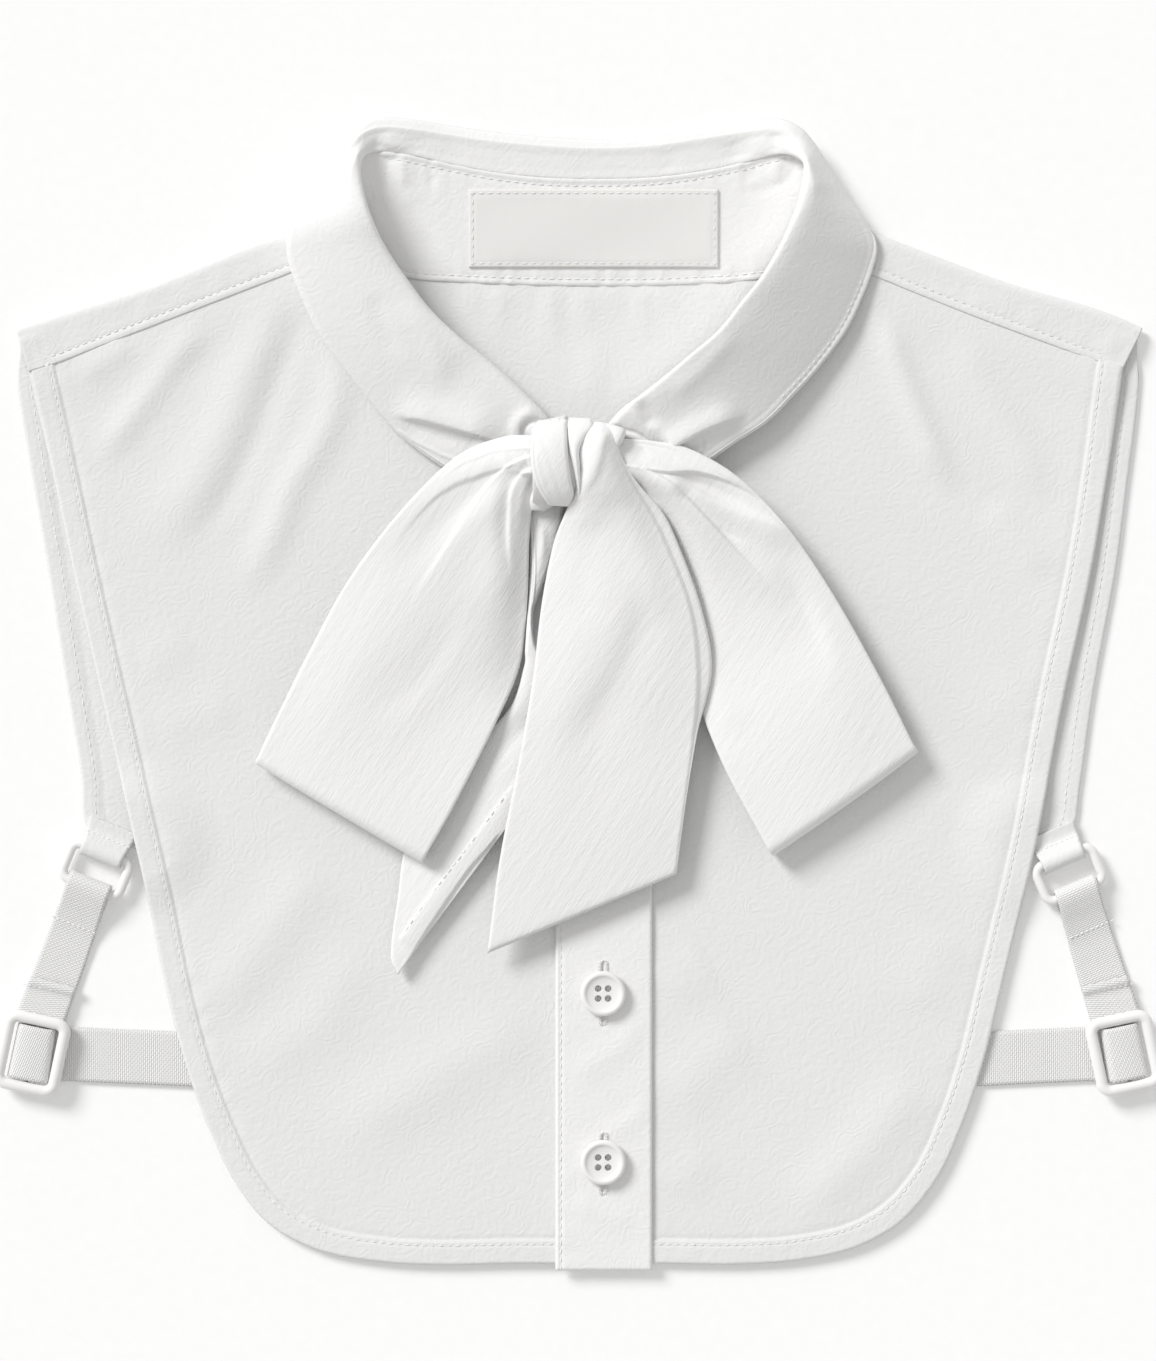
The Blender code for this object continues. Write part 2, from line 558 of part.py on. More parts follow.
def fall_section(row, rise):
    """Seven points across the fall: as it lies on the front, and as it goes behind the neck."""
    roll, outer, edge = row[0:2], row[2:4], row[4:6]
    turned_under, lift = min(max(row[6], 0), 1), row[7]
    across = (edge - roll) / np.linalg.norm(edge - roll)
    out = (outer - roll) / np.linalg.norm(outer - roll)
    on_front = (
        (roll + across * 6.0, 4.6),
        (roll + across * 1.2, 4.9 + 0.25 * lift),
        (roll, 6.6 + 0.6 * lift),
        (roll + across * 2.2, 8.7 + 1.1 * lift),
        (mix(roll, edge, 0.36), 9.6 + 0.52 * lift),
        (mix(roll, edge, 0.70), 7.6 + 0.19 * lift),
        (edge, FALL_EDGE_Z),
    )
    inner_outer = outer - out * PANEL_WALL / 2
    behind = (
        (roll, 5.2),
        (mix(roll, inner_outer, 0.16), 5.9),
        (mix(roll, inner_outer, 0.36), 7.3),
        (mix(roll, inner_outer, 0.70), 8.0),
        (inner_outer, 4.6),
        (mix(inner_outer, edge, 0.09), FALL_UNDER_Z),
        (edge, FALL_UNDER_Z),
    )
    return [
        (*mix(front_place, back_place, turned_under), mix(front_z + rise, back_z, turned_under))
        for (front_place, front_z), (back_place, back_z) in zip(on_front, behind)
    ]


def add_fall(collection):
    rows = [(*row.roll, *row.outer, *row.edge, row.turned, row.lift) for row in FALL]
    band = Path(rows, range(len(rows)))

    def surface(u, v):
        section = fall_section(band.at(u), FALL_END_Z * (1 - ease(min(u, 1 - u), 0, 0.06)))
        return Path(section, range(len(section))).at(v)

    add_sheet("collar_fall", FALL_COLUMNS, FALL_ROWS, surface, PANEL_WALL, "cotton", collection)


# Bow


def ribbon_rows(table):
    rows = [(*row.first, *row.second, row.first_z, row.middle_z, row.second_z) for row in table]
    return Path(rows, range(len(rows)))


def pleat_height(name, across, along):
    total = 0.0
    for pleat in PLEATS[name]:
        middle = pleat.at_knot + (pleat.at_end - pleat.at_knot) * along
        fade = 1 - ease(along, 0, pleat.reach)
        total += pleat.height * exp(-(((across - middle) / pleat.width) ** 2)) * fade
    return total


def on_ribbon(name, rows, across, along):
    """The middle of a ribbon's wall, across and along it from 0 to 1."""
    row = rows.at(along)
    place = mix(row[0:2], row[2:4], across)
    crown = row[5] - (row[4] + row[6]) / 2
    z = mix(row[4], row[6], across) + 4 * crown * across * (1 - across) + pleat_height(name, across, along)
    return np.array([*place, z])


def loop_surface(name):
    """Out from the knot on top, round the far end, and back to the knot underneath."""
    rows = ribbon_rows(LOOP[name])
    last, before = LOOP[name][-1], LOOP[name][-2]
    out = mix(last.first, last.second, 0.5) - mix(before.first, before.second, 0.5)
    line = np.array(last.second) - np.array(last.first)
    out -= line * np.dot(out, line) / np.dot(line, line)
    out /= np.linalg.norm(out)

    def surface(u, v):
        if v <= LOOP_TOP_SHARE:
            return on_ribbon(name, rows, u, v / LOOP_TOP_SHARE)
        end = on_ribbon(name, rows, u, 1.0)
        radius = (end[2] - LOOP_UNDER_Z) / 2
        turn = (v - LOOP_TOP_SHARE) / LOOP_BEND_SHARE
        if turn <= 1:
            place = end[:2] + out * radius * sin(pi * turn)
            return *place, LOOP_UNDER_Z + radius * (1 + cos(pi * turn))
        back = (v - LOOP_TOP_SHARE - LOOP_BEND_SHARE) / (1 - LOOP_TOP_SHARE - LOOP_BEND_SHARE)
        inset = LOOP_UNDER_INSET * ease(back, 0, 0.25)
        place = on_ribbon(name, rows, inset + (1 - 2 * inset) * u, 1 - back)
        return *place[:2], LOOP_UNDER_Z + (LOOP_UNDER_ROOT_Z - LOOP_UNDER_Z) * ease(back, 0.6, 1.0)

    return surface


def add_loops(collection):
    for name in LOOP:
        add_sheet(name, LOOP_COLUMNS, LOOP_ROWS, loop_surface(name), PANEL_WALL, "cotton", collection)


def tail_front_surface():
    """The front tail, with its under layer showing as a lower strip beside its second edge."""
    rows, lip = ribbon_rows(TAIL_FRONT), Path([(width, 0.0) for width in TAIL_LIP], range(len(TAIL_LIP)))
    main = 1 - LIP_COLUMNS / TAIL_COLUMNS

    def surface(u, v):
        if u <= main:
            return on_ribbon("tail_front", rows, u / main, v)
        place = on_ribbon("tail_front", rows, 1.0, v)
        row = rows.at(v)
        out = (row[2:4] - row[0:2]) / np.linalg.norm(row[2:4] - row[0:2])
        share, width = (u - main) / (1 - main), max(lip.at(v)[0], 0.0) + TAIL_EDGE
        drop = TAIL_LIP_DROP * ease(width - TAIL_EDGE, 0, 2.5) * ease(share, 0, 0.5)
        return *(place[:2] + out * width * share), place[2] - drop

    return surface


def add_tails(collection):
    add_sheet("tail_front", TAIL_COLUMNS, TAIL_ROWS, tail_front_surface(), PANEL_WALL, "cotton", collection)
    rows = ribbon_rows(TAIL_BACK)

    def surface(u, v):
        return on_ribbon("tail_back", rows, u, v)

    add_sheet("tail_back", 7, 16, surface, PANEL_WALL, "cotton", collection)


def add_knot(collection):
    rows = Path([tuple(row)[1:] for row in KNOT], [row.x for row in KNOT])

    def surface(u, v):
        row_place = v * (len(KNOT) - 1)
        x = np.interp(row_place, range(len(KNOT)), [row.x for row in KNOT])
        middle_y, half_y, middle_z, half_z = rows.value(x)
        return x, middle_y + half_y * cos(2 * pi * u), middle_z + half_z * sin(2 * pi * u)

    mesh = grid_mesh("knot", KNOT_SIDES, len(KNOT) - 1, surface, closed=True)
    add_object("knot", mesh, "cotton", collection)


# Buttons


def add_buttons(collection, cutters):
    radius, height = BUTTON_RADIUS, BUTTON_HEIGHT
    profile = (
        (0.0, height - 0.9), (radius - 2.2, height - 0.8), (radius - 1.4, height), (radius - 0.6, height),
        (radius, height - 0.7), (radius, 0.6), (radius - 0.6, 0.0), (0.0, 0.0),
    )
    mesh = bpy.data.meshes.new("button_profile")
    points = [(x * MM, 0.0, z * MM) for x, z in profile]
    mesh.from_pydata(points, [(i, i + 1) for i in range(len(points) - 1)], [])
    hole = bmesh.new()
    for turn in range(4):
        reach = Matrix.Rotation(turn * pi / 2 + pi / 4, 4, "Z")
        reach = reach @ Matrix.Translation((BUTTON_HOLE_REACH * MM, 0, 0))
        bmesh.ops.create_cone(
            hole, cap_ends=True, segments=10, radius1=BUTTON_HOLE_RADIUS * MM,
            radius2=BUTTON_HOLE_RADIUS * MM, depth=4 * height * MM, matrix=reach,
        )
    hole_mesh = bpy.data.meshes.new("button_holes")
    hole.to_mesh(hole_mesh)
    hole.free()
    for name, y in BUTTON_YS.items():
        place = Vector((BUTTON_X, y, placket_z(y) + PLACKET_WALL / 2 + SEAM_GAP)) * MM
        cutter = add_object(f"{name}_holes", hole_mesh, None, cutters)
        cutter.location = place
        cutter.hide_render = True
        cutter.display_type = "WIRE"
        made = add_object(name, mesh, "white_plastic", collection)
        made.location = place
        screw = made.modifiers.new("turned", "SCREW")
        screw.steps = screw.render_steps = 28
        screw.use_merge_vertices = True
        screw.merge_threshold = 1e-6
        cut = made.modifiers.new("holes", "BOOLEAN")
        cut.object = cutter


# Rings, sliders and elastics


def bent_bar(name, size, corner, bar, steps, collection):
    """A round bar bent into an oblong with rounded corners, as a closed curve in the plane."""
    half_x, half_y = size[0] / 2 - bar, size[1] / 2 - bar
    middles = ((1, 1, 0), (-1, 1, 90), (-1, -1, 180), (1, -1, 270))
    points = []
    for along, up, start in middles:
        centre = along * (half_x - corner), up * (half_y - corner)
        points += arc(centre, corner, start, start + 90, steps)
    curve = bpy.data.curves.new(name, "CURVE")
    curve.dimensions = "3D"
    curve.bevel_depth = bar * MM
    curve.bevel_resolution = 2
    line = curve.splines.new("POLY")
    line.points.add(len(points) - 1)
    for point, place in zip(line.points, points):
        point.co = (place[0] * MM, place[1] * MM, 0, 1)
    line.use_cyclic_u = True
    return add_object(name, curve, "white_plastic", collection)


def add_rings(collection):
    for side in SIDES:
        made = bent_bar(f"ring_{side.name}", RING_SIZE, RING_CORNER, RING_BAR, 4, collection)
        made.location = Vector((*side.ring, RING_Z)) * MM
        made.rotation_euler.z = radians(side.ring_turn)


def add_sliders(collection, cutters):
    for side in SIDES:
        name = f"slider_{side.name}"
        curve = bent_bar(f"{name}_frame", SLIDER_SIZE, SLIDER_CORNER, SLIDER_BAR, 4, cutters)
        frame = bpy.data.meshes.new_from_object(curve.evaluated_get(bpy.context.evaluated_depsgraph_get()))
        bpy.data.objects.remove(curve)
        made = add_object(name, frame, "white_plastic", collection)
        made.location = Vector((*side.slider, SLIDER_Z)) * MM
        made.rotation_euler.z = radians(side.slider_turn)
        shape = bmesh.new()
        length = SLIDER_SIZE[1] - 3 * SLIDER_BAR
        place = Matrix.Translation((0, 0, (SLIDER_MIDDLE_Z - SLIDER_Z) * MM))
        place = place @ Matrix.Rotation(pi / 2, 4, "X")
        bmesh.ops.create_cone(
            shape, cap_ends=True, segments=10, radius1=SLIDER_MIDDLE_BAR * MM,
            radius2=SLIDER_MIDDLE_BAR * MM,
            depth=length * MM, matrix=place,
        )
        bar_mesh = bpy.data.meshes.new(f"{name}_bar")
        shape.to_mesh(bar_mesh)
        shape.free()
        bar = add_object(f"{name}_bar", bar_mesh, None, cutters)
        bar.location, bar.rotation_euler = made.location, made.rotation_euler
        bar.hide_render = True
        bar.display_type = "WIRE"
        join = made.modifiers.new("middle_bar", "BOOLEAN")
        join.operation = "UNION"
        join.object = bar


def add_strip(name, section, start, end, turns, widths, rows, finish, collection):
    """A flat band: its section (place along, height) laid from start to end, its turn and width at each."""
    line = Path(section)
    start, end = np.array(start), np.array(end)
    length = hypot(*(end - start))

    def surface(u, v):
        along, z = line.at(v)
        share = ease(along / length)
        width = turned(mix(*turns, share))[0] * mix(*widths, share)
        return *(start + (end - start) * along / length + width * (u - 0.5)), z

    add_sheet(name, 2, rows, surface, ELASTIC_WALL, finish, collection)


def add_tabs(collection):
    """Over the back's corner, round the ring and back underneath."""
    over_back = BACK_Z + PANEL_WALL / 2 + SEAM_GAP + ELASTIC_WALL / 2
    wrap = RING_Z - ELASTIC_LOW_Z
    section = [(9.0, over_back), (5.2, over_back), (2.7, 3.8), *arc((0.0, RING_Z), wrap, 78, 270, 8)]
    section.append((2.2, ELASTIC_LOW_Z))
    for side in SIDES:
        up = turned(side.ring_turn)[1]
        bar = np.array(side.ring) + up * (RING_SIZE[1] / 2 - RING_BAR)
        widths = (ELASTIC_WIDTH_IN_RING, ELASTIC_WIDTH)
        turns = side.ring_turn, side.ring_turn
        add_strip(f"tab_{side.name}", section, bar, bar + up * 9, turns, widths, 14, "cotton", collection)


def add_upper_elastics(collection):
    """Sewn back on itself below at the ring, and folded back on top under the slider's edge."""
    low, wrap, bend = ELASTIC_LOW_Z, RING_Z - ELASTIC_LOW_Z, UPPER_ELASTIC_FOLD
    for side in SIDES:
        bar = np.array(side.ring) - turned(side.ring_turn)[1] * (RING_SIZE[1] / 2 - RING_BAR)
        seat = np.array(side.slider) + turned(side.slider_turn)[1] * (SLIDER_SIZE[1] / 2 - 0.8)
        length = hypot(*(seat - bar))
        section = [(9.0, low), (4.0, low), (1.2, low), *arc((0.0, RING_Z), wrap, 270, 90, 8), (1.6, 4.9)]
        section += [(4.0, 4.1), (7.6, 2.7), (11.0, 1.7), (15.0, 0.9), (20.0, low), (length - 6, low)]
        section += [(length - 1, low)]
        section += [*arc((length, low + bend), bend, -90, 90, 4), (length - 1, low + 2 * bend)]
        section += [(length - 5, low + 2 * bend), (length - 11.2, low + 2 * bend)]
        turns, widths = (side.ring_turn, side.slider_turn), (ELASTIC_WIDTH_IN_RING, ELASTIC_WIDTH - 0.7)
        add_strip(f"strap_upper_{side.name}", section, bar, seat, turns, widths, 40, "elastic", collection)


def add_lower_elastics(collection):
    """From under the front's edge to the slider, under it and back over its middle bar."""
    low, bend = ELASTIC_LOW_Z, 2.1
    for side in SIDES:
        start = np.array(side.slider)
        seat = np.array([side.front_edge_x - side.sign * LOWER_ELASTIC_TUCK, LOWER_ELASTIC_Y])
        reach = hypot(*(seat - start))
        section = [(reach, low), (reach - 8, low), (12.0, low), (6.0, low), (0.0, low), (-2.8, low)]
        section += arc((-3.4, low + bend), bend, 270, 90, 6) + arc((3.4, low + bend), bend, 90, -4, 4)
        line = Path(section)

        def surface(u, v, side=side, start=start, seat=seat, reach=reach, line=line):
            along, z = line.at(v)
            share = ease(along, 6, 24)
            width = turned(mix(side.slider_turn + 90, 90, share))[0] * ELASTIC_WIDTH
            in_slider = start - turned(side.slider_turn)[0] * side.sign * along
            return *(mix(in_slider, mix(start, seat, along / reach), share) + width * (u - 0.5)), z

        add_sheet(f"strap_lower_{side.name}", 3, 34, surface, ELASTIC_WALL, "elastic", collection)


def main():
    for spare in list(bpy.data.objects):
        bpy.data.objects.remove(spare)
    collection = bpy.data.collections.new("detachable_shirt_collar")
    cutters = bpy.data.collections.new("cutters")
    for made in (collection, cutters):
        bpy.context.scene.collection.children.link(made)
    cutters.hide_render = True
    add_back(collection)
    add_fronts(collection)
    add_placket(collection)
    add_stand(collection)
    add_label(collection)
    add_fall(collection)
    add_loops(collection)
    add_tails(collection)
    add_knot(collection)
    add_buttons(collection, cutters)
    add_rings(collection)
    add_sliders(collection, cutters)
    add_tabs(collection)
    add_upper_elastics(collection)
    add_lower_elastics(collection)


main()
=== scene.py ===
"""Detachable shirt collar, dressed: cotton panels, tie bow, stitching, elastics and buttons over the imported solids."""

import logging
from collections.abc import Callable, Sequence
from dataclasses import dataclass, field
from enum import Enum
from math import cos, pi, radians, sin

import bmesh
import bpy
import numpy as np
from mathutils import Matrix, Vector


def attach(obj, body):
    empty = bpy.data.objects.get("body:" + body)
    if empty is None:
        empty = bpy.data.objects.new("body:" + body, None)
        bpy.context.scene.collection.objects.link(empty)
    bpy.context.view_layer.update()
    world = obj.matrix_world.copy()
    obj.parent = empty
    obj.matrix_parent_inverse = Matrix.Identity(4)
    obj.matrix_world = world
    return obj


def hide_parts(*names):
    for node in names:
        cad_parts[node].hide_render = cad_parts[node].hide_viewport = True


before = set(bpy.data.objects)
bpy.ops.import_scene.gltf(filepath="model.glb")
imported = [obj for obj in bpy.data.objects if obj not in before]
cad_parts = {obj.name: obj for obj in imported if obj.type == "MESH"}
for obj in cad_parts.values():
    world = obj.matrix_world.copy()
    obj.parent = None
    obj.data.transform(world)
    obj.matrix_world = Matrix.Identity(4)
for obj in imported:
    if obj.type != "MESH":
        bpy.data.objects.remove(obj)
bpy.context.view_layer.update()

MM = 0.001
LOG = logging.getLogger("shirt_collar")

Array = np.ndarray
Socket = bpy.types.NodeSocket
Pairs = tuple[tuple[float, float], ...]  # points of a line in the plane
Line = Pairs | tuple[float, ...]  # the same, or x and y in turn
Rows = tuple[tuple[float, ...], ...]

# Walls and levels of the lying garment, in millimetres.
CLOTH = 0.8
FRONT_CLOTH = 1.4
BACK_CLOTH = 1.1
BACK_TOP = 1.2
FRONT_TOP = 2.7
SHOULDER_TOP = 3.5
SHOULDER_BEND = 1.75  # radius of the outside of the fold over the shoulder
BACK_HEM_Y = -50.0
CENTRE_X = -3.2
HEM_Y = -169.8
FRONT_HEM, BACK_HEM = 7.2, 5.4
STITCH_PITCH, STITCH_LIFT = 2.5, 0.12
WAVES = 512  # random values in a ripple before it repeats


class Seat(Enum):
    """How a sheet of cloth is held."""

    LAID = "laid"
    FOLDED = "folded"
    GATHERED = "gathered"
    STRETCHED = "stretched"


class Slot(Enum):
    """The record's material slots."""

    COTTON = "cotton"
    LABEL = "label_cloth"
    ELASTIC = "elastic"
    PLASTIC = "white_plastic"


# Lines and relief


def ease(value: Array | float, low: float = 0, high: float = 1) -> Array:
    """Return 0 below low, 1 above high, and a smooth step between them."""
    share = np.clip((np.asarray(value, float) - low) / (high - low), 0, 1)
    return share * share * (3 - 2 * share)


def mix(start: Array, end: Array, share: Array | float) -> Array:
    """Return what lies between two places.

    Args:
        start: The place at share 0.
        end: The place at share 1.
        share: One share, or one for each row of the result.

    Returns:
        The place or rows of places.
    """
    share = np.asarray(share, float)
    if share.ndim:
        share = share[..., None]
    return np.asarray(start, float) * (1 - share) + np.asarray(end, float) * share


def bell(value: Array, middle: Array | float, reach: Array | float) -> Array:
    """Return 1 where value is at the middle, dying out past reach on both sides of it."""
    return np.exp(-(((value - middle) / reach) ** 2))


def rounded(away: Array, amount: float, reach: float) -> Array:
    """Return how far a rounded edge turns down, at a distance from it."""
    return amount * np.clip(1 - away / reach, 0, 1) ** 2


def lifted(plane: Array, height: Array) -> Array:
    """Return places in the plane with their heights as a third coordinate."""
    return np.concatenate([plane, height[..., None]], axis=-1)


def over_grid(height: Callable[[Array], Array], x: Array, y: Array) -> Array:
    """Return a surface's points over a grid, rows by columns by 3."""
    return np.stack([x, y, height(np.column_stack([x.ravel(), y.ravel()])).reshape(x.shape)], axis=-1)


def laid_on(height: Callable[[Array], Array], row: Array, lift: float = STITCH_LIFT) -> Array:
    """Return a row of places laid on a surface, a little above it."""
    return np.column_stack([row, height(row) + lift])


def turned(degrees: float) -> tuple[Array, Array]:
    """Return the unit vectors along and across something turned by this angle in the plane."""
    angle = radians(degrees)
    return np.array([cos(angle), sin(angle)]), np.array([-sin(angle), cos(angle)])


def arc(centre: tuple[float, float], radius: float, start: float, end: float, steps: int) -> list[tuple[float, float]]:
    """Return points on an arc, with its angles in degrees."""
    angles = [radians(start + (end - start) * step / steps) for step in range(steps + 1)]
    return [(centre[0] + radius * cos(angle), centre[1] + radius * sin(angle)) for angle in angles]


def ripple(place: Array, seed: int) -> Array:
    """Return smooth noise from -1 to 1 with about one wave for each unit of place."""
    values = np.random.RandomState(seed).uniform(-1, 1, WAVES)
    low = np.floor(place * 2).astype(int)
    share = ease(place * 2 - low)
    return values[low % WAVES] * (1 - share) + values[(low + 1) % WAVES] * share


def spread(ends: Sequence[float], fine: float, coarse: float, reach: float) -> Array:
    """Return places along a line, close together near its ends.

    Args:
        ends: The first and the last place.
        fine: Step at the ends.
        coarse: Step between them.
        reach: How far from an end the steps are shorter.

    Returns:
        The places, with both ends.
    """
    low, high = ends
    places, place = [low], low
    while place < high:
        near_end = min(place - low, high - place)
        place += fine + (coarse - fine) * float(ease(near_end, 0, reach))
        places.append(place)
    size, reached = high - low, places[-1] - low
    return np.array(places) * size / reached + low * (1 - size / reached)


class Track:
    """A smooth curve through rows of numbers, read at places along it (by default its length in the plane)."""

    def __init__(self, rows: Sequence[Sequence[float]], places: Sequence[float] | None = None) -> None:
        """Work out the slopes at the rows.

        Args:
            rows: Rows of numbers, as many in each.
            places: Where each row lies along the curve.
        """
        self.rows = np.array(rows, float)
        if places is None:
            steps = np.linalg.norm(np.diff(self.rows[:, :2], axis=0), axis=1)
            places = np.concatenate([[0], np.cumsum(steps)])
        self.places = np.array(places, float)
        steps = np.diff(self.places)
        slopes = np.diff(self.rows, axis=0) / steps[:, None]
        inner = (slopes[:-1] * steps[1:, None] + slopes[1:] * steps[:-1, None]) / (steps[:-1] + steps[1:])[:, None]
        self.slopes = np.concatenate([slopes[:1], inner, slopes[-1:]])

    def value(self, places: Array | float) -> Array:
        """Return the row at each place."""
        places = np.clip(np.asarray(places, float), self.places[0], self.places[-1])
        i = np.clip(np.searchsorted(self.places, places, side="right") - 1, 0, len(self.places) - 2)
        step = (self.places[i + 1] - self.places[i])[..., None]
        f = (places[..., None] - self.places[i][..., None]) / step
        return (
            self.rows[i] * (2 * f**3 - 3 * f**2 + 1)
            + self.rows[i + 1] * (3 * f**2 - 2 * f**3)
            + (self.slopes[i] * (f**3 - 2 * f**2 + f) + self.slopes[i + 1] * (f**3 - f**2)) * step
        )

    def at(self, shares: Array | float) -> Array:
        """Return the row at each share of the whole, from 0 to 1."""
        return self.value(self.places[0] + np.asarray(shares, float) * (self.places[-1] - self.places[0]))

    def inward(self, shares: Array | float, sign: float) -> Array:
        """Return unit vectors square to the curve.

        Args:
            shares: Where along the curve, from 0 to 1.
            sign: 1 for its right side, -1 for its left.

        Returns:
            A vector in the plane for each share.
        """
        shares = np.asarray(shares, float)
        along = (self.at(np.minimum(shares + 0.004, 1)) - self.at(np.maximum(shares - 0.004, 0)))[..., :2]
        along = along / np.linalg.norm(along, axis=-1, keepdims=True)
        return np.stack([along[..., 1], -along[..., 0]], axis=-1) * sign


@dataclass(frozen=True)
class Beside:
    """Where places lie beside a line: signed distance (over 0 to its left), length along it and share along it."""

    away: Array
    length: Array
    share: Array


def beside(line: Line, places: Array, steps: int = 24) -> Beside:
    """Measure places against a smooth line.

    Args:
        line: The line.
        places: An array of places, n by 2.
        steps: Straight pieces that the line is cut into.

    Returns:
        The distance and the place along the line of each place.
    """
    points = Track(np.reshape(line, (-1, 2))).at(np.linspace(0, 1, steps + 1))
    pieces = np.diff(points, axis=0)
    lengths = np.linalg.norm(pieces, axis=1)
    run = np.concatenate([[0], np.cumsum(lengths)])
    best = np.full(len(places), np.inf)
    side, length = np.zeros(len(places)), np.zeros(len(places))
    for start, piece, size, before in zip(points, pieces, lengths, run):
        gap = places - start
        share = np.clip(gap @ piece / size**2, 0, 1)
        distance = np.hypot(gap[:, 0] - share * piece[0], gap[:, 1] - share * piece[1])
        nearer = distance < best
        best = np.where(nearer, distance, best)
        side = np.where(nearer, piece[0] * gap[:, 1] - piece[1] * gap[:, 0], side)
        length = np.where(nearer, before + share * size, length)
    return Beside(best * np.where(side < 0, -1, 1), length, length / run[-1])


@dataclass(frozen=True)
class Fold:
    """A soft ridge, or with a height below 0 a trough, along a line; widths are half widths on its left and right."""

    line: Line
    height: float
    width: float
    right: float = 0.0
    spread: float = 1.0
    fade: tuple[float, float] = (0.25, 0.3)  # shares of the line at its start and end over which it grows and dies

    def relief(self, places: Array) -> Array:
        """Return the height that the fold adds at each place, n by 2."""
        near = beside(self.line, places)
        width = np.where(near.away > 0, self.width, self.right or self.width) * (1 + (self.spread - 1) * near.share)
        fade = ease(near.share, -0.001, self.fade[0] + 1e-6) * ease(1 - near.share, -0.001, self.fade[1] + 1e-6)
        return self.height * fade * bell(near.away, 0, width)


@dataclass(frozen=True)
class Puckers:
    """Small uneven gathers square to a seam, that die out on both sides of it."""

    line: Line
    height: float
    pitch: float
    reach: float
    offset: float = 0.0
    seed: int = 1
    slant: float = 0.0
    steps: int = 60

    def relief(self, places: Array) -> Array:
        """Return the height that the gathers add at each place."""
        near = beside(self.line, places, self.steps)
        away = near.away - self.offset
        waves = ripple((near.length + self.slant * away) / self.pitch + 40, self.seed)
        strong = 0.6 + 0.4 * ripple(near.length / (6 * self.pitch) + 11, self.seed + 1)
        return self.height * waves * strong * bell(away, 0, self.reach)


@dataclass(frozen=True)
class Hem:
    """A turned and stitched edge: from the cloth's edge, how wide it is, how proud it stands and where it is sewn."""

    line: Pairs
    side: float
    width: float
    lift: float = 0.42
    stitch: float = 1.3
    groove: float = 0.22
    steps: int = 110

    def relief(self, places: Array) -> Array:
        """Return the height that the hem adds at each place."""
        near = beside(self.line, places, self.steps)
        inwards = near.away * self.side
        lift = self.lift * (1 - ease(inwards, self.width - 0.35, self.width + 0.1))
        dip = 0.2 * bell(inwards, self.width + 0.5, 0.7)
        groove = self.groove * bell(inwards, self.width - self.stitch, 0.42)
        return lift - dip - groove - rounded(inwards, 0.55, 0.7)

    def row(self) -> Array:
        """Return the line of stitches."""
        track = Track(self.line)
        shares = np.linspace(0, 1, int(track.places[-1] / 1.2))
        return track.at(shares) + track.inward(shares, -self.side) * (self.width - self.stitch)


@dataclass
class Relief:
    """All that a piece's surface adds to its plain form."""

    parts: list[Fold | Puckers | Hem] = field(default_factory=list)

    def height(self, places: Array) -> Array:
        """Return the added height at each place, n by 2."""
        return sum((part.relief(places) for part in self.parts), np.zeros(len(places)))

    def over(self, points: Array) -> Array:
        """Return the added height over a grid of points."""
        return self.height(points[..., :2].reshape(-1, 2)).reshape(points.shape[:2])


# Meshes


def new_object(name: str, data: bpy.types.ID) -> bpy.types.Object:
    """Return a new object in the scene."""
    made = bpy.data.objects.new(name, data)
    bpy.context.scene.collection.objects.link(made)
    return made


def opened(mesh: bpy.types.Mesh) -> bmesh.types.BMesh:
    """Return a mesh's shape, open for changes."""
    shape = bmesh.new()
    shape.from_mesh(mesh)
    return shape


def closed(shape: bmesh.types.BMesh, mesh: bpy.types.Mesh) -> bpy.types.Mesh:
    """Return the mesh with the changed shape, smoothly shaded."""
    shape.to_mesh(mesh)
    shape.free()
    mesh.shade_smooth()
    return mesh


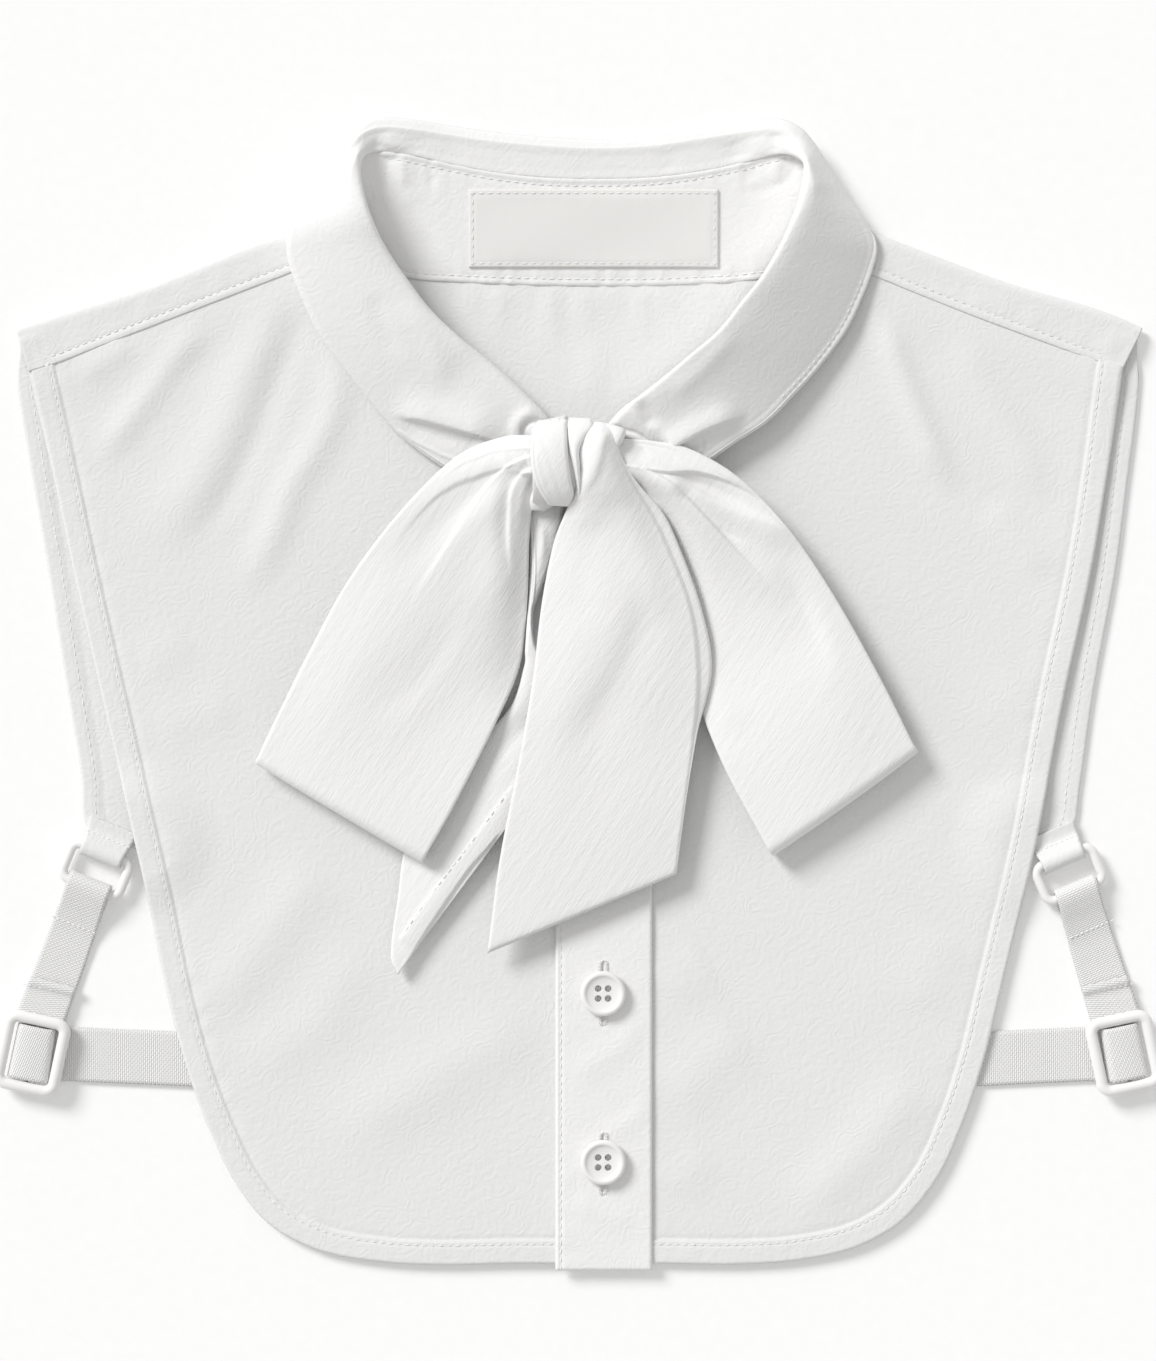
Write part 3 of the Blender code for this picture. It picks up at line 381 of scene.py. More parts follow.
def grid_mesh(name: str, points: Array, keep: Array | None = None, wrap: bool = False) -> bpy.types.Mesh:
    """Make a grid of faces that point upwards, or outwards where it wraps round.

    Args:
        name: Name of the mesh.
        points: Rows by columns by 3, in millimetres.
        keep: Which cells to keep, rows - 1 by columns - 1, or all.
        wrap: Join the last column to the first.

    Returns:
        The mesh, with its width and length along the grid as the UV map cloth, in millimetres.
    """
    rows, columns = points.shape[:2]
    index = np.arange(rows * columns).reshape(rows, columns)
    if wrap:
        index = np.concatenate([index, index[:, :1]], axis=1)
    quads = np.stack([index[:-1, :-1], index[1:, :-1], index[1:, 1:], index[:-1, 1:]], axis=-1)
    quads = quads[keep] if keep is not None else quads.reshape(-1, 4)
    flat = points.reshape(-1, 3)
    if not wrap:
        first = quads[: max(len(quads) // 3, 1)]
        normals = np.cross(flat[first[:, 1]] - flat[first[:, 3]], flat[first[:, 0]] - flat[first[:, 2]])
        if normals[:, 2].sum() > 0:
            quads = quads[:, ::-1]
    mesh = bpy.data.meshes.new(name)
    mesh.from_pydata(flat * MM, [], quads.tolist())
    across = np.concatenate([np.zeros((rows, 1)), np.cumsum(np.linalg.norm(np.diff(points, axis=1), axis=2), 1)], 1)
    along = np.concatenate([np.zeros((1, columns)), np.cumsum(np.linalg.norm(np.diff(points, axis=0), axis=2), 0)], 0)
    places = np.stack([across, along], axis=-1).reshape(-1, 2)
    corners = np.zeros(len(mesh.loops), np.int32)
    mesh.loops.foreach_get("vertex_index", corners)
    mesh.uv_layers.new(name="cloth").data.foreach_set("uv", places[corners].astype(np.float32).ravel())
    shape = opened(mesh)
    loose = [point for point in shape.verts if not point.link_faces]
    bmesh.ops.delete(shape, geom=loose, context="VERTS")
    if wrap:
        bmesh.ops.remove_doubles(shape, verts=shape.verts, dist=1e-7)
        bmesh.ops.holes_fill(shape, edges=[edge for edge in shape.edges if edge.is_boundary])
        bmesh.ops.recalc_face_normals(shape, faces=shape.faces)
    return closed(shape, mesh)


def add_piece(
    name: str, mesh: bpy.types.Mesh, finish: "Finish", nodes: Sequence[str] = ()
) -> bpy.types.Object:
    """Add a finished mesh that rides on the garment.

    Args:
        name: Name of the piece.
        mesh: Its mesh, in place.
        finish: What it is made of.
        nodes: The CAD nodes that it stands for.

    Returns:
        The piece.
    """
    made = new_object(name, mesh)
    mesh.materials.clear()
    mesh.materials.append(finish.material())
    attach(made, "root")
    if nodes:
        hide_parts(*nodes)
    LOG.info("%s: %d faces, %.5f m2", name, len(mesh.polygons), sum(face.area for face in mesh.polygons))
    return made


@dataclass(frozen=True)
class Cut:
    """How a piece of cloth was cut, in metres, and how it lies: its blank's size, its area, and what holds it."""

    width: float
    length: float
    area: float
    seat: Seat
    rests_on: tuple[str, ...]


def make_sheet(made: bpy.types.Object, wall: float, offset: float = -1) -> None:
    """Give a piece of cloth its wall, below its face or on both sides of it.

    Args:
        made: The piece, without a thickness so far.
        wall: Its thickness in millimetres.
        offset: -1 puts the wall below the face, 0 on both sides of it.
    """
    solid = made.modifiers.new("wall", "SOLIDIFY")
    solid.thickness = wall * MM
    solid.offset = offset


def add_cloth(
    name: str, points: Array, wall: float, finish: "Finish",
    keep: Array | None = None,
) -> None:
    """Add a sheet of cloth with a wall below its grid of points.

    Args:
        name: Name of the piece and of the CAD node that it stands for.
        points: Its upper face, rows by columns by 3, in millimetres.
        wall: Thickness in millimetres.
        finish: What it is made of.
        keep: Which cells to keep, or all.
    """
    make_sheet(add_piece(f"{name}_cloth", grid_mesh(name, points, keep), finish, [name]), wall)


# Finishes


class Shade:
    """Short calls for building a material or a shader group."""

    def __init__(self, tree: bpy.types.NodeTree) -> None:
        """Take the tree to build in."""
        self.tree = tree

    def node(self, kind: str, **settings: object) -> bpy.types.Node:
        """Add a node with these settings."""
        made = self.tree.nodes.new(kind)
        for name, value in settings.items():
            setattr(made, name, value)
        return made

    def feed(self, node: bpy.types.Node, inputs: dict[str | int, Socket | float | tuple]) -> bpy.types.NodeOutputs:
        """Link sockets to a node's inputs or set their own values.

        Args:
            node: The node.
            inputs: For each input's name or number, what goes into it.

        Returns:
            The node's outputs.
        """
        for name, value in inputs.items():
            if isinstance(value, bpy.types.NodeSocket):
                self.tree.links.new(value, node.inputs[name])
            else:
                node.inputs[name].default_value = value
        return node.outputs

    def math(self, operation: str, *values: Socket | float) -> Socket:
        """Return the result of a Math node."""
        return self.feed(self.node("ShaderNodeMath", operation=operation), dict(enumerate(values)))[0]

    def plus(self, first: Socket, second: Socket | float) -> Socket:
        """Return a sum."""
        return self.math("ADD", first, second)

    def times(self, first: Socket, second: Socket | float) -> Socket:
        """Return a product."""
        return self.math("MULTIPLY", first, second)

    def noise(self, place: Socket, scale: Socket | float, detail: float = 2) -> Socket:
        """Return smooth noise about 0.5 at a scale of so many features to the unit."""
        return self.feed(self.node("ShaderNodeTexNoise"), {"Vector": place, "Scale": scale, "Detail": detail})["Fac"]

    def mapped(self, place: Socket, turn: Socket | tuple, scale: tuple[float, float, float]) -> Socket:
        """Return the place turned and then scaled."""
        turner = self.node("ShaderNodeVectorRotate", rotation_type="EULER_XYZ")
        turned_place = self.feed(turner, {"Vector": place, "Rotation": turn})[0]
        return self.feed(self.node("ShaderNodeVectorMath", operation="MULTIPLY"), {0: turned_place, 1: scale})[0]


def new_group(name: str, **inputs: float | tuple) -> tuple[Shade, bpy.types.Node, bpy.types.Node]:
    """Make an empty shader group that takes a Place and puts out a Height and a Shade.

    Args:
        name: Name of the group.
        inputs: Its other inputs with their defaults, numbers or vectors.

    Returns:
        What builds in the group, and the group's input and output nodes.
    """
    tree = bpy.data.node_groups.new(name, "ShaderNodeTree")
    for label, default in {"Place": (0, 0, 0), **inputs}.items():
        kind = "NodeSocketVector" if isinstance(default, tuple) else "NodeSocketFloat"
        tree.interface.new_socket(label, in_out="INPUT", socket_type=kind).default_value = default
    for label in ("Height", "Shade"):
        tree.interface.new_socket(label, in_out="OUTPUT", socket_type="NodeSocketFloat")
    return Shade(tree), tree.nodes.new("NodeGroupInput"), tree.nodes.new("NodeGroupOutput")


def twill_group() -> bpy.types.NodeTree:
    """Return the cotton's weave: fine slanted ribs, a soft uneven crepe and slack threads, as a height and a shade
    (random blotches, and painted shade in the crepe's hollows).
    """
    found = bpy.data.node_groups.get("cotton_twill")
    if found:
        return found
    shade, given, out = new_group("cotton_twill", Slant=(0, 0, 0), Rib=0.5, Crepe=0.5)
    place, slant = given.outputs["Place"], given.outputs["Slant"]
    streaks = shade.noise(shade.mapped(place, slant, (75, 560, 300)), 1)
    ribs = shade.noise(shade.mapped(place, slant, (420, 2600, 1500)), 1, 1)
    crepe = shade.noise(place, 900, 3)
    blot = shade.noise(place, 45)
    rib_part = shade.times(shade.plus(streaks, shade.times(ribs, 0.6)), given.outputs["Rib"])
    swirl = shade.math("SINE", shade.times(shade.noise(place, 150, 1.5), 44))
    crepe_part = shade.times(shade.plus(crepe, shade.times(swirl, 0.17)), given.outputs["Crepe"])
    # Tone: random blotches, plus painted shade from the crepe noise that also makes the bumps, so the crepe's tops are
    # lighter and its hollows darker.
    mottle_and_crepe_shade = shade.plus(shade.times(blot, 0.035), shade.times(crepe, 0.03))
    shade.feed(out, {"Height": shade.plus(rib_part, crepe_part), "Shade": shade.plus(mottle_and_crepe_shade, 0.965)})
    return shade.tree


def elastic_group() -> bpy.types.NodeTree:
    """Return woven elastic along its UV map in millimetres: short bricks of rib across, in rows along the band, with
    painted shade in the grooves between the ribs.
    """
    found = bpy.data.node_groups.get("elastic_weave")
    if found:
        return found
    shade, given, out = new_group("elastic_weave", Pitch=0.62)
    across, along, _ = shade.feed(shade.node("ShaderNodeSeparateXYZ"), {0: given.outputs["Place"]})
    rows = shade.math("DIVIDE", along, given.outputs["Pitch"])
    brick = shade.plus(shade.times(across, 0.75), shade.times(shade.math("FLOOR", rows), 0.5))
    rib, bump = (shade.math("SINE", shade.times(shade.math("FRACT", wave), pi)) for wave in (rows, brick))
    woven = shade.times(shade.math("POWER", rib, 0.6), shade.math("POWER", bump, 0.35))
    fuzz = shade.noise(given.outputs["Place"], 2.2)
    # Tone: painted shade, lighter on the rib crests and darker in the grooves between them, plus uneven fuzz.
    groove_shade_and_fuzz = shade.plus(shade.times(woven, 0.09), shade.times(fuzz, 0.04))
    shade.feed(out, {"Height": shade.plus(woven, shade.times(fuzz, 0.35)), "Shade": shade.plus(groove_shade_and_fuzz, 0.885)})
    return shade.tree


def cloudy_group() -> bpy.types.NodeTree:
    """Return faint uneven tone for moulded plastic and thread, as a height and a shade."""
    found = bpy.data.node_groups.get("faint_unevenness")
    if found:
        return found
    shade, given, out = new_group("faint_unevenness", Scale=300)
    cloud = shade.noise(given.outputs["Place"], given.outputs["Scale"])
    shade.feed(out, {"Height": cloud, "Shade": shade.plus(shade.times(cloud, 0.04), 0.96)})
    return shade.tree


@dataclass(frozen=True)
class Finish:
    """A surface: its colour, its gloss and the relief of its texture in millimetres."""

    name: str
    colour: tuple[float, float, float]
    roughness: float
    relief: float

    def texture(self, shade: Shade) -> bpy.types.Node:
        """Return the group node that gives the texture's Height and Shade."""
        group = shade.node("ShaderNodeGroup", node_tree=cloudy_group())
        shade.feed(group, {"Place": shade.node("ShaderNodeTexCoord").outputs["Object"]})
        return group

    def gloss(self) -> dict[str, float]:
        """Return what is the same all over the surface."""
        return {"Roughness": self.roughness}

    def material(self) -> bpy.types.Material:
        """Return the material, made once."""
        found = bpy.data.materials.get(self.name)
        if found:
            return found
        made = bpy.data.materials.new(self.name)
        made.use_nodes = True
        shade = Shade(made.node_tree)
        shader = made.node_tree.nodes["Principled BSDF"]
        texture = self.texture(shade).outputs
        toned = shade.node("ShaderNodeVectorMath", operation="SCALE")
        colour = shade.feed(toned, {0: self.colour, "Scale": texture["Shade"]})[0]
        bump = shade.node("ShaderNodeBump")
        normal = shade.feed(bump, {"Strength": 1, "Distance": self.relief * MM, "Height": texture["Height"]})[0]
        shade.feed(shader, {"Base Color": colour, "Normal": normal, **self.gloss()})
        return made


@dataclass(frozen=True)
class CottonFinish(Finish):
    """Cotton twill, with the slant of its ribs in degrees and how strong ribs and crepe are."""

    slant: float = 60.0
    rib: float = 0.5
    crepe: float = 0.5

    def texture(self, shade: Shade) -> bpy.types.Node:
        """Return the weave laid along the slant."""
        group = shade.node("ShaderNodeGroup", node_tree=twill_group())
        place, slant = shade.node("ShaderNodeTexCoord").outputs["Object"], (0, 0, -radians(self.slant))
        shade.feed(group, {"Place": place, "Slant": slant, "Rib": self.rib, "Crepe": self.crepe})
        return group

    def gloss(self) -> dict[str, float]:
        """Return roughness and the soft bloom of its fibres."""
        bloom = {"Specular IOR Level": 0.25, "Sheen Weight": 0.12, "Sheen Roughness": 0.5}
        return {"Roughness": self.roughness, **bloom}


@dataclass(frozen=True)
class ElasticFinish(Finish):
    """Flat woven elastic, ribbed across along its UV map."""

    def texture(self, shade: Shade) -> bpy.types.Node:
        """Return the ribs laid along the band."""
        group = shade.node("ShaderNodeGroup", node_tree=elastic_group())
        shade.feed(group, {"Place": shade.node("ShaderNodeUVMap", uv_map="cloth").outputs[0]})
        return group

    def gloss(self) -> dict[str, float]:
        """Return roughness and a little sheen."""
        return {"Roughness": self.roughness, "Specular IOR Level": 0.3, "Sheen Weight": 0.08}


@dataclass(frozen=True)
class PlasticFinish(Finish):
    """Moulded white plastic with a satin skin."""

    def gloss(self) -> dict[str, float]:
        """Return a satin gloss under a thin, duller coat."""
        coat = {"Coat Weight": 0.15, "Coat Roughness": 0.25}
        return {"Roughness": self.roughness, "Specular IOR Level": 0.5, **coat}


PANEL_COTTON = CottonFinish("panel_cotton", (0.79, 0.788, 0.786), 0.85, 0.14, slant=35, rib=0.3, crepe=0.8)
DOUBLE_COTTON = CottonFinish("double_cotton", (0.845, 0.842, 0.838), 0.85, 0.14, slant=35, rib=0.3, crepe=0.8)
BOW_COTTON = CottonFinish("bow_cotton", (0.845, 0.842, 0.838), 0.8, 0.15, slant=56, rib=1.1, crepe=0.3)
COLLAR_COTTON = CottonFinish("collar_cotton", (0.845, 0.842, 0.838), 0.8, 0.14, slant=40, rib=0.45, crepe=0.7)
LABEL_CLOTH = CottonFinish("label_cloth", (0.72, 0.712, 0.702), 0.82, 0.05, slant=0, rib=0.35, crepe=0.7)
THREAD = Finish("sewing_thread", (0.86, 0.857, 0.85), 0.6, 0.02)
ELASTIC = ElasticFinish("woven_elastic", (0.885, 0.881, 0.874), 0.85, 0.2)
PLASTIC = PlasticFinish("moulded_plastic", (0.88, 0.874, 0.866), 0.34, 0.01)
BUTTON_PLASTIC = PlasticFinish("button_plastic", (0.86, 0.852, 0.84), 0.3, 0.01)


# Stitches


def stitch_tree() -> bpy.types.NodeTree:
    """Return Geometry Nodes that lay short threads end to end along polylines."""
    found = bpy.data.node_groups.get("stitch_row")
    if found:
        return found
    tree = bpy.data.node_groups.new("stitch_row", "GeometryNodeTree")
    face = tree.interface
    face.new_socket("Rows", in_out="INPUT", socket_type="NodeSocketGeometry")
    for label, default in (("Pitch", 0.0025), ("Length", 0.0009), ("Breadth", 0.0002), ("Thickness", 0.0002)):
        face.new_socket(label, in_out="INPUT", socket_type="NodeSocketFloat").default_value = default
    face.new_socket("Thread", in_out="INPUT", socket_type="NodeSocketMaterial")
    face.new_socket("Stitches", in_out="OUTPUT", socket_type="NodeSocketGeometry")
    shade = Shade(tree)
    given, out = shade.node("NodeGroupInput").outputs, shade.node("NodeGroupOutput")
    curve = shade.feed(shade.node("GeometryNodeMeshToCurve"), {"Mesh": given["Rows"]})[0]
    points = shade.node("GeometryNodeResampleCurve", mode="LENGTH")
    points = shade.feed(points, {"Curve": curve, "Length": given["Pitch"]})[0]
    thread = shade.feed(shade.node("GeometryNodeMeshUVSphere"), {"Segments": 6, "Rings": 5, "Radius": 1.0})["Mesh"]
    size = {"X": given["Length"], "Y": given["Breadth"], "Z": given["Thickness"]}
    size = shade.feed(shade.node("ShaderNodeCombineXYZ"), size)[0]
    along = shade.node("FunctionNodeAlignRotationToVector", axis="X")
    along = shade.feed(along, {"Vector": shade.node("GeometryNodeInputTangent").outputs[0]})[0]
    wander = shade.node("FunctionNodeRandomValue", data_type="FLOAT")
    wander = shade.feed(wander, {2: 0.85, 3: 1.12, "Seed": 7})[1]
    scale = shade.feed(shade.node("ShaderNodeVectorMath", operation="SCALE"), {0: size, "Scale": wander})[0]
    laid = {"Points": points, "Instance": thread, "Rotation": along, "Scale": scale}
    last = shade.feed(shade.node("GeometryNodeInstanceOnPoints"), laid)[0]
    for kind in ("GeometryNodeRealizeInstances", "GeometryNodeSetShadeSmooth"):
        last = shade.feed(shade.node(kind), {0: last})[0]
    dressed = {0: last, "Material": given["Thread"]}
    shade.feed(out, {0: shade.feed(shade.node("GeometryNodeSetMaterial"), dressed)[0]})
    return tree


def add_stitches(
    name: str, rows: Sequence[Array], pitch: float = STITCH_PITCH,
    size: tuple[float, float, float] = (0.82, 0.18, 0.18),
) -> None:
    """Lay rows of stitches along lines in space.

    Args:
        name: Name of the piece.
        rows: Each line's points, n by 3, in millimetres.
        pitch: From stitch to stitch, in millimetres.
        size: Half a stitch along the row, across it and upwards, in millimetres.
    """
    mesh = bpy.data.meshes.new(f"{name}_rows")
    starts = np.cumsum([0] + [len(row) for row in rows])
    edges = [(i, i + 1) for start, row in zip(starts, rows) for i in range(start, start + len(row) - 1)]
    mesh.from_pydata(np.concatenate(rows) * MM, edges, [])
    rail = new_object(f"{name}_rows", mesh)
    tree = stitch_tree()
    sewn = rail.modifiers.new("stitches", "NODES")
    sewn.node_group = tree
    given = {"Pitch": pitch * MM, "Thread": THREAD.material()}
    given |= {name: value * MM for name, value in zip(("Length", "Breadth", "Thickness"), size)}
    for item in tree.interface.items_tree:
        if item.in_out == "INPUT" and item.name in given:
            sewn[item.identifier] = given[item.name]
    graph = bpy.context.evaluated_depsgraph_get()
    plain = bpy.data.meshes.new_from_object(rail.evaluated_get(graph))
    bpy.data.objects.remove(rail)
    plain.name = name
    add_piece(name, plain, THREAD)


# Tables, in millimetres


@dataclass(frozen=True)
class Side:
    """One side of the garment, with its ring, slider and what is sewn below its front."""

    name: str
    sign: int
    ring: tuple[float, float]
    ring_turn: float
    slider: tuple[float, float]
    slider_turn: float
    front_edge_x: float
    tab_end: tuple[float, float]


SIDES = (
    Side("left", -1, (-144.3, -51.8), -22, (-163.3, -106.7), -12, -117.6, (-132.6, -43)),
    Side("right", 1, (147, -53.2), 23, (163.3, -106.6), 12, 121.4, (136.4, -45)),
)
FRONT_EDGE = {
    "left": (
        (-164.1, 98.2), (-158.4, 72.5), (-151.8, 41), (-136.8, -25.1), (-129.3, -58.1), (-121.8, -94.1),
        (-116.4, -113.6), (-109.5, -131.6), (-102, -146.6), (-92.4, -158), (-80.1, -164.9), (-59.1, -169.3),
        (-41.7, -170.2), (-20, HEM_Y), (CENTRE_X - 0.15, HEM_Y),
    ),
    "right": (
        (162.6, 98.4), (158.1, 65), (154.2, 41), (145.2, -1.1), (136.5, -46.1), (126.6, -88.1),
        (121.5, -109.1), (115.5, -127.1), (107.1, -145.1), (95.1, -158.6), (84.6, -164.4), (66.6, -168.7),
        (48.6, -170), (26, HEM_Y), (CENTRE_X + 0.15, HEM_Y),
    ),
}
FRONT_NECK = {
    "left": ((-72.9, 131.4), (-67.8, 119), (-57.9, 105.5), (-44.4, 91.4), (-29.4, 80), (-14.4, 72.6)),
    "right": ((78, 129.6), (73.5, 119), (63, 105.5), (48.6, 91.4), (33, 80), (16, 72.6)),
}
BACK_EDGE = {
    "left": (
        (-168.6, 107.4), (-168.3, 96.5), (-165, 74), (-159.6, 42.5), (-153.1, 2), (-148.8, -25.1),
        (-147.6, -38), (-145.2, -41.8), (-132.9, -45.6), (-98.4, -49.4), (-50, BACK_HEM_Y),
    ),
    "right": (
        (168.9, 107.6), (168.3, 95), (164.1, 59), (162, 42.5), (154.2, -1), (150.4, -28),
        (148.6, -39), (146.2, -42.6), (133.5, -46), (98.4, -49.4), (50, BACK_HEM_Y),
    ),
}
SHOULDER_FOLD = {
    "left": ((-168, 109.4), (-161.4, 111.6), (-128.4, 122), (-98.4, 134), (-76, 141.6)),
    "right": ((168.6, 109.4), (162, 112.4), (126.6, 123.5), (102.6, 132.5), (79, 141.6)),
}
SHOULDER_SEAM = {
    "left": ((-164.3, 97.2), (-156.3, 99.75), (-143.4, 104.8), (-113.4, 116.4), (-83.4, 128), (-73.2, 132.1)),
    "right": ((162.9, 97.9), (156, 100.2), (138.6, 106.5), (114.6, 115.5), (78.2, 130.3)),
}
BACK_NECK = {
    "left": ((-74, 140.4), (-70.5, 134), (-62, 128), (-50, 126), (-25, 124.6), (3.6, 124.2)),
    "right": ((77, 140.4), (74, 134), (66, 128.4), (54, 126.4), (30, 124.8), (3.6, 124.2)),
}
WHOLE_NECK = BACK_NECK["left"] + BACK_NECK["right"][-2::-1]
EDGE_CORNER = 7  # row of the back's edges where its low edge starts
LOW_EDGE = BACK_EDGE["left"][EDGE_CORNER:] + BACK_EDGE["right"][: EDGE_CORNER - 1 : -1]
GATHERS = (
    Fold((-33, 123.1, -33.6, 115.9, -34.8, 108.5), 0.42, 2.4, 3, 1.3, (0.01, 0.8)),
    Fold((-22.8, 123.1, -23.4, 114.5, -25.2, 104), 0.59, 2.2, 2.6, 1.5, (0.01, 0.8)),
    Fold((-15.9, 123.1, -15.3, 117.4, -15, 111.5), 0.34, 1.6, 1.8, 1.3, (0.01, 0.8)),
    Fold((-8.4, 123.1, -8.1, 113, -7.2, 100.3), 0.68, 2, 2.2, 1.6, (0.01, 0.8)),
    Fold((1.5, 123.1, 1.8, 115.9, 2.4, 105.5), 0.59, 2, 1.8, 1.5, (0.01, 0.8)),
    Fold((3.6, 110, 4.2, 98, 3.6, 83), 0.59, 3.6, 4.4, 1.2, (0.5, 0.4)),
    Fold((10.2, 123.1, 10.8, 118.9, 12, 113), 0.34, 1.8, 1.8, 1.3, (0.01, 0.8)),
    Fold((18, 123.1, 18.6, 115.9, 20.4, 104), 0.51, 2, 2, 1.5, (0.01, 0.8)),
    Fold((24.6, 123.1, 26.4, 117.4, 30, 108.5), 0.51, 1.8, 2.2, 1.4, (0.01, 0.8)),
    Fold((38.1, 123.8, 40.2, 118.9, 43.2, 113), 0.34, 2, 2.4, 1.3, (0.01, 0.8)),
)
FRONT_FOLDS = {
    "left": (
        Fold((-85.8, 124.9, -89.4, 117.4, -93.9, 107.5, -99.6, 96.1, -104.1, 83, -111.6, 68, -119.1, 55.9,
              -131.1, 39.4), 1.25, 6, spread=1.6),
        Fold((-81.9, 118.9, -86.4, 105.5, -92.4, 89, -98.4, 74, -105.9, 58.9, -119.4, 40.9), -0.6, 4),
        Fold((-108.9, 113.5, -118.8, 103.3, -127.8, 91.3, -136.8, 79.3, -145.8, 67.3), 1, 4.5),
        Fold((-76.8, 108.5, -72.9, 95.5, -73.2, 86.5, -78, 75.1, -85.2, 63.8, -89.7, 52.4, -94.8, 40.9,
              -105, 28.3), 1.1, 5),
        Fold((-132.9, 106.3, -142.2, 100.3, -150.6, 95), 0.5, 4),
        Fold((-116.4, 19.3, -125.4, 12.4, -132, 9.8), 0.34, 6.8),
        Fold((-101.4, -3.4, -116.4, -6.5, -127.8, -11.8), 0.34, 6.8),
        Fold((-74.1, -46.9, -83.1, -58.9, -92.1, -71, -101.1, -82.6, -111.6, -92, -118.2, -97), 0.77, 8.5),
        Fold((-62.1, -71, -71.1, -86, -77.4, -97.6, -91.8, -106.3, -105.6, -112), 0.59, 8.5),
        Fold((-9.9, -91, -19.2, -100.3, -34.2, -109.3, -49.2, -118.3, -64.2, -127.3, -76.2, -136.3), 0.85, 10.2),
    ),
    "right": (
        Fold((88.8, 117.8, 93.3, 105.8, 97.8, 93.8, 102.6, 81.8, 108.6, 69.5, 116.1, 60.4), 1.5, 4.5),
        Fold((110.1, 110, 123.6, 89, 135.6, 68, 141.6, 55.9), 0.8, 6),
        Fold((122.1, 58.9, 132.6, 45.4, 141.6, 34.9), 0.5, 5),
        Fold((105.9, -112.3, 96.9, -121.3, 87.9, -133.3, 78.9, -142.3, 69.9, -151.3, 61.2, -157.7), 0.9, 8.5),
        Fold((52.2, -100, 40.2, -109, 31.2, -118, 25.2, -124), 0.68, 9.3),
        Fold((40.8, -79, 31.8, -85, 25.8, -91), 0.51, 8.5),
        Fold((40.2, -136, 33.6, -142, 27, -149.5), 0.42, 6.8),
        Fold((111.6, -68.5, 105.6, -83.5, 101.1, -97), 0.42, 8.5),
        Fold((135.6, 2.5, 126.6, -3.4, 117.6, -10.7), 0.3, 8.5),
        Fold((124.2, -26.6, 119.4, -43), 0.3, 8.5),
    ),
}


# Panels


def near(places: Array, centre: tuple[float, float], reach: float) -> Array:
    """Return 1 over a place in the plane and 0 past its reach."""
    return ease(reach - np.hypot(places[:, 0] - centre[0], places[:, 1] - centre[1]), 0, reach * 0.6)


def front_top(places: Array) -> Array:
    """Return how high the fronts' upper face lies over what is below it: the back, its tabs and the elastics."""
    return FRONT_TOP + sum(1.5 * near(places, side.tab_end, 26) for side in SIDES)


@dataclass
class Front:
    """One front: its armhole and hem are turned and sewn, and its middle edge lies under the placket."""

    side: Side
    middle_gap: float = 0.15  # from the garment's middle to the front's edge
    low_turn_y: float = -132.0  # where the grid turns from the middle edge to the hem
    neck_share: float = 0.24  # share of the grid's rows along the neck
    hem_columns: int = 17
    columns: int = 92
    rows: int = 270
    relief: Relief = field(init=False)

    def __post_init__(self) -> None:
        """Gather what its surface adds."""
        name, turn = self.side.name, -self.side.sign
        edge = FRONT_EDGE[name]
        self.relief = Relief([
            *FRONT_FOLDS[name],
            Hem(edge, turn, FRONT_HEM),
            Puckers(edge, 0.17, 6.6, 3.6, turn * (FRONT_HEM + 0.6), seed=3 + self.side.sign, slant=0.35, steps=110),
            Puckers(edge, 0.1, 3.4, 3, turn * 2.5, seed=8 + self.side.sign, slant=-0.2, steps=110),
        ])

    def height(self, places: Array) -> Array:
        """Return the height of its upper face."""
        to_seam = np.abs(beside(SHOULDER_SEAM[self.side.name], places).away)
        rise = (SHOULDER_TOP - 0.2 - FRONT_TOP) * (1 - ease(to_seam, 3, 18))
        from_edge = beside(FRONT_EDGE[self.side.name][:6], places).away
        lift = 0.6 * bell(from_edge, 0, 14) * ease(places[:, 0], 100, 150) * ease(places[:, 1], -60, -10)
        return front_top(places) + rise + lift + self.relief.height(places)

    def outline(self) -> Array:
        """Return its grid in the plane, rows by columns by 2, from the outer edge to the middle."""
        name, sign = self.side.name, self.side.sign
        edge, neck, seam = Track(FRONT_EDGE[name]), Track(FRONT_NECK[name]), Track(SHOULDER_SEAM[name])
        middle_x, corner = CENTRE_X + sign * self.middle_gap, FRONT_NECK[name][-1]
        v = np.linspace(0, 1, self.rows + 1)
        down = np.clip((v - self.neck_share) / (1 - self.neck_share), 0, 1)
        straight = mix(corner, (middle_x, self.low_turn_y), down)
        straight[:, 0] = corner[0] + (middle_x - corner[0]) * ease(down, 0, 0.08)
        middle = np.where(v[:, None] < self.neck_share, neck.at(v / self.neck_share), straight)
        outer = edge.at(v)
        hem = outer + edge.inward(v, sign) * (FRONT_HEM + 1.2)
        in_hem = np.linspace(0, 1, self.hem_columns)[None, :-1, None]
        inside = np.linspace(0, 1, self.columns + 1)[None, :, None]
        band = outer[:, None] * (1 - in_hem) + hem[:, None] * in_hem
        plain = np.concatenate([band, hem[:, None] * (1 - inside) + middle[:, None] * inside], axis=1)
        u = np.linalg.norm(plain[0] - plain[0, 0], axis=1)
        u = u / u[-1]
        top = seam.at(u) - seam.inward(u, -sign) * 0.7
        return plain + (top - plain[0])[None] * (1 - ease(v, 0, 0.12))[:, None, None]

    def build(self) -> None:
        """Add the panel."""
        points = over_grid(self.height, *np.moveaxis(self.outline(), -1, 0))
        add_cloth(f"front_{self.side.name}", points, FRONT_CLOTH, PANEL_COTTON)

    def stitches(self) -> list[Array]:
        """Return the hem's row of stitches, on the surface."""
        return [laid_on(self.height, part.row()) for part in self.relief.parts if isinstance(part, Hem)]


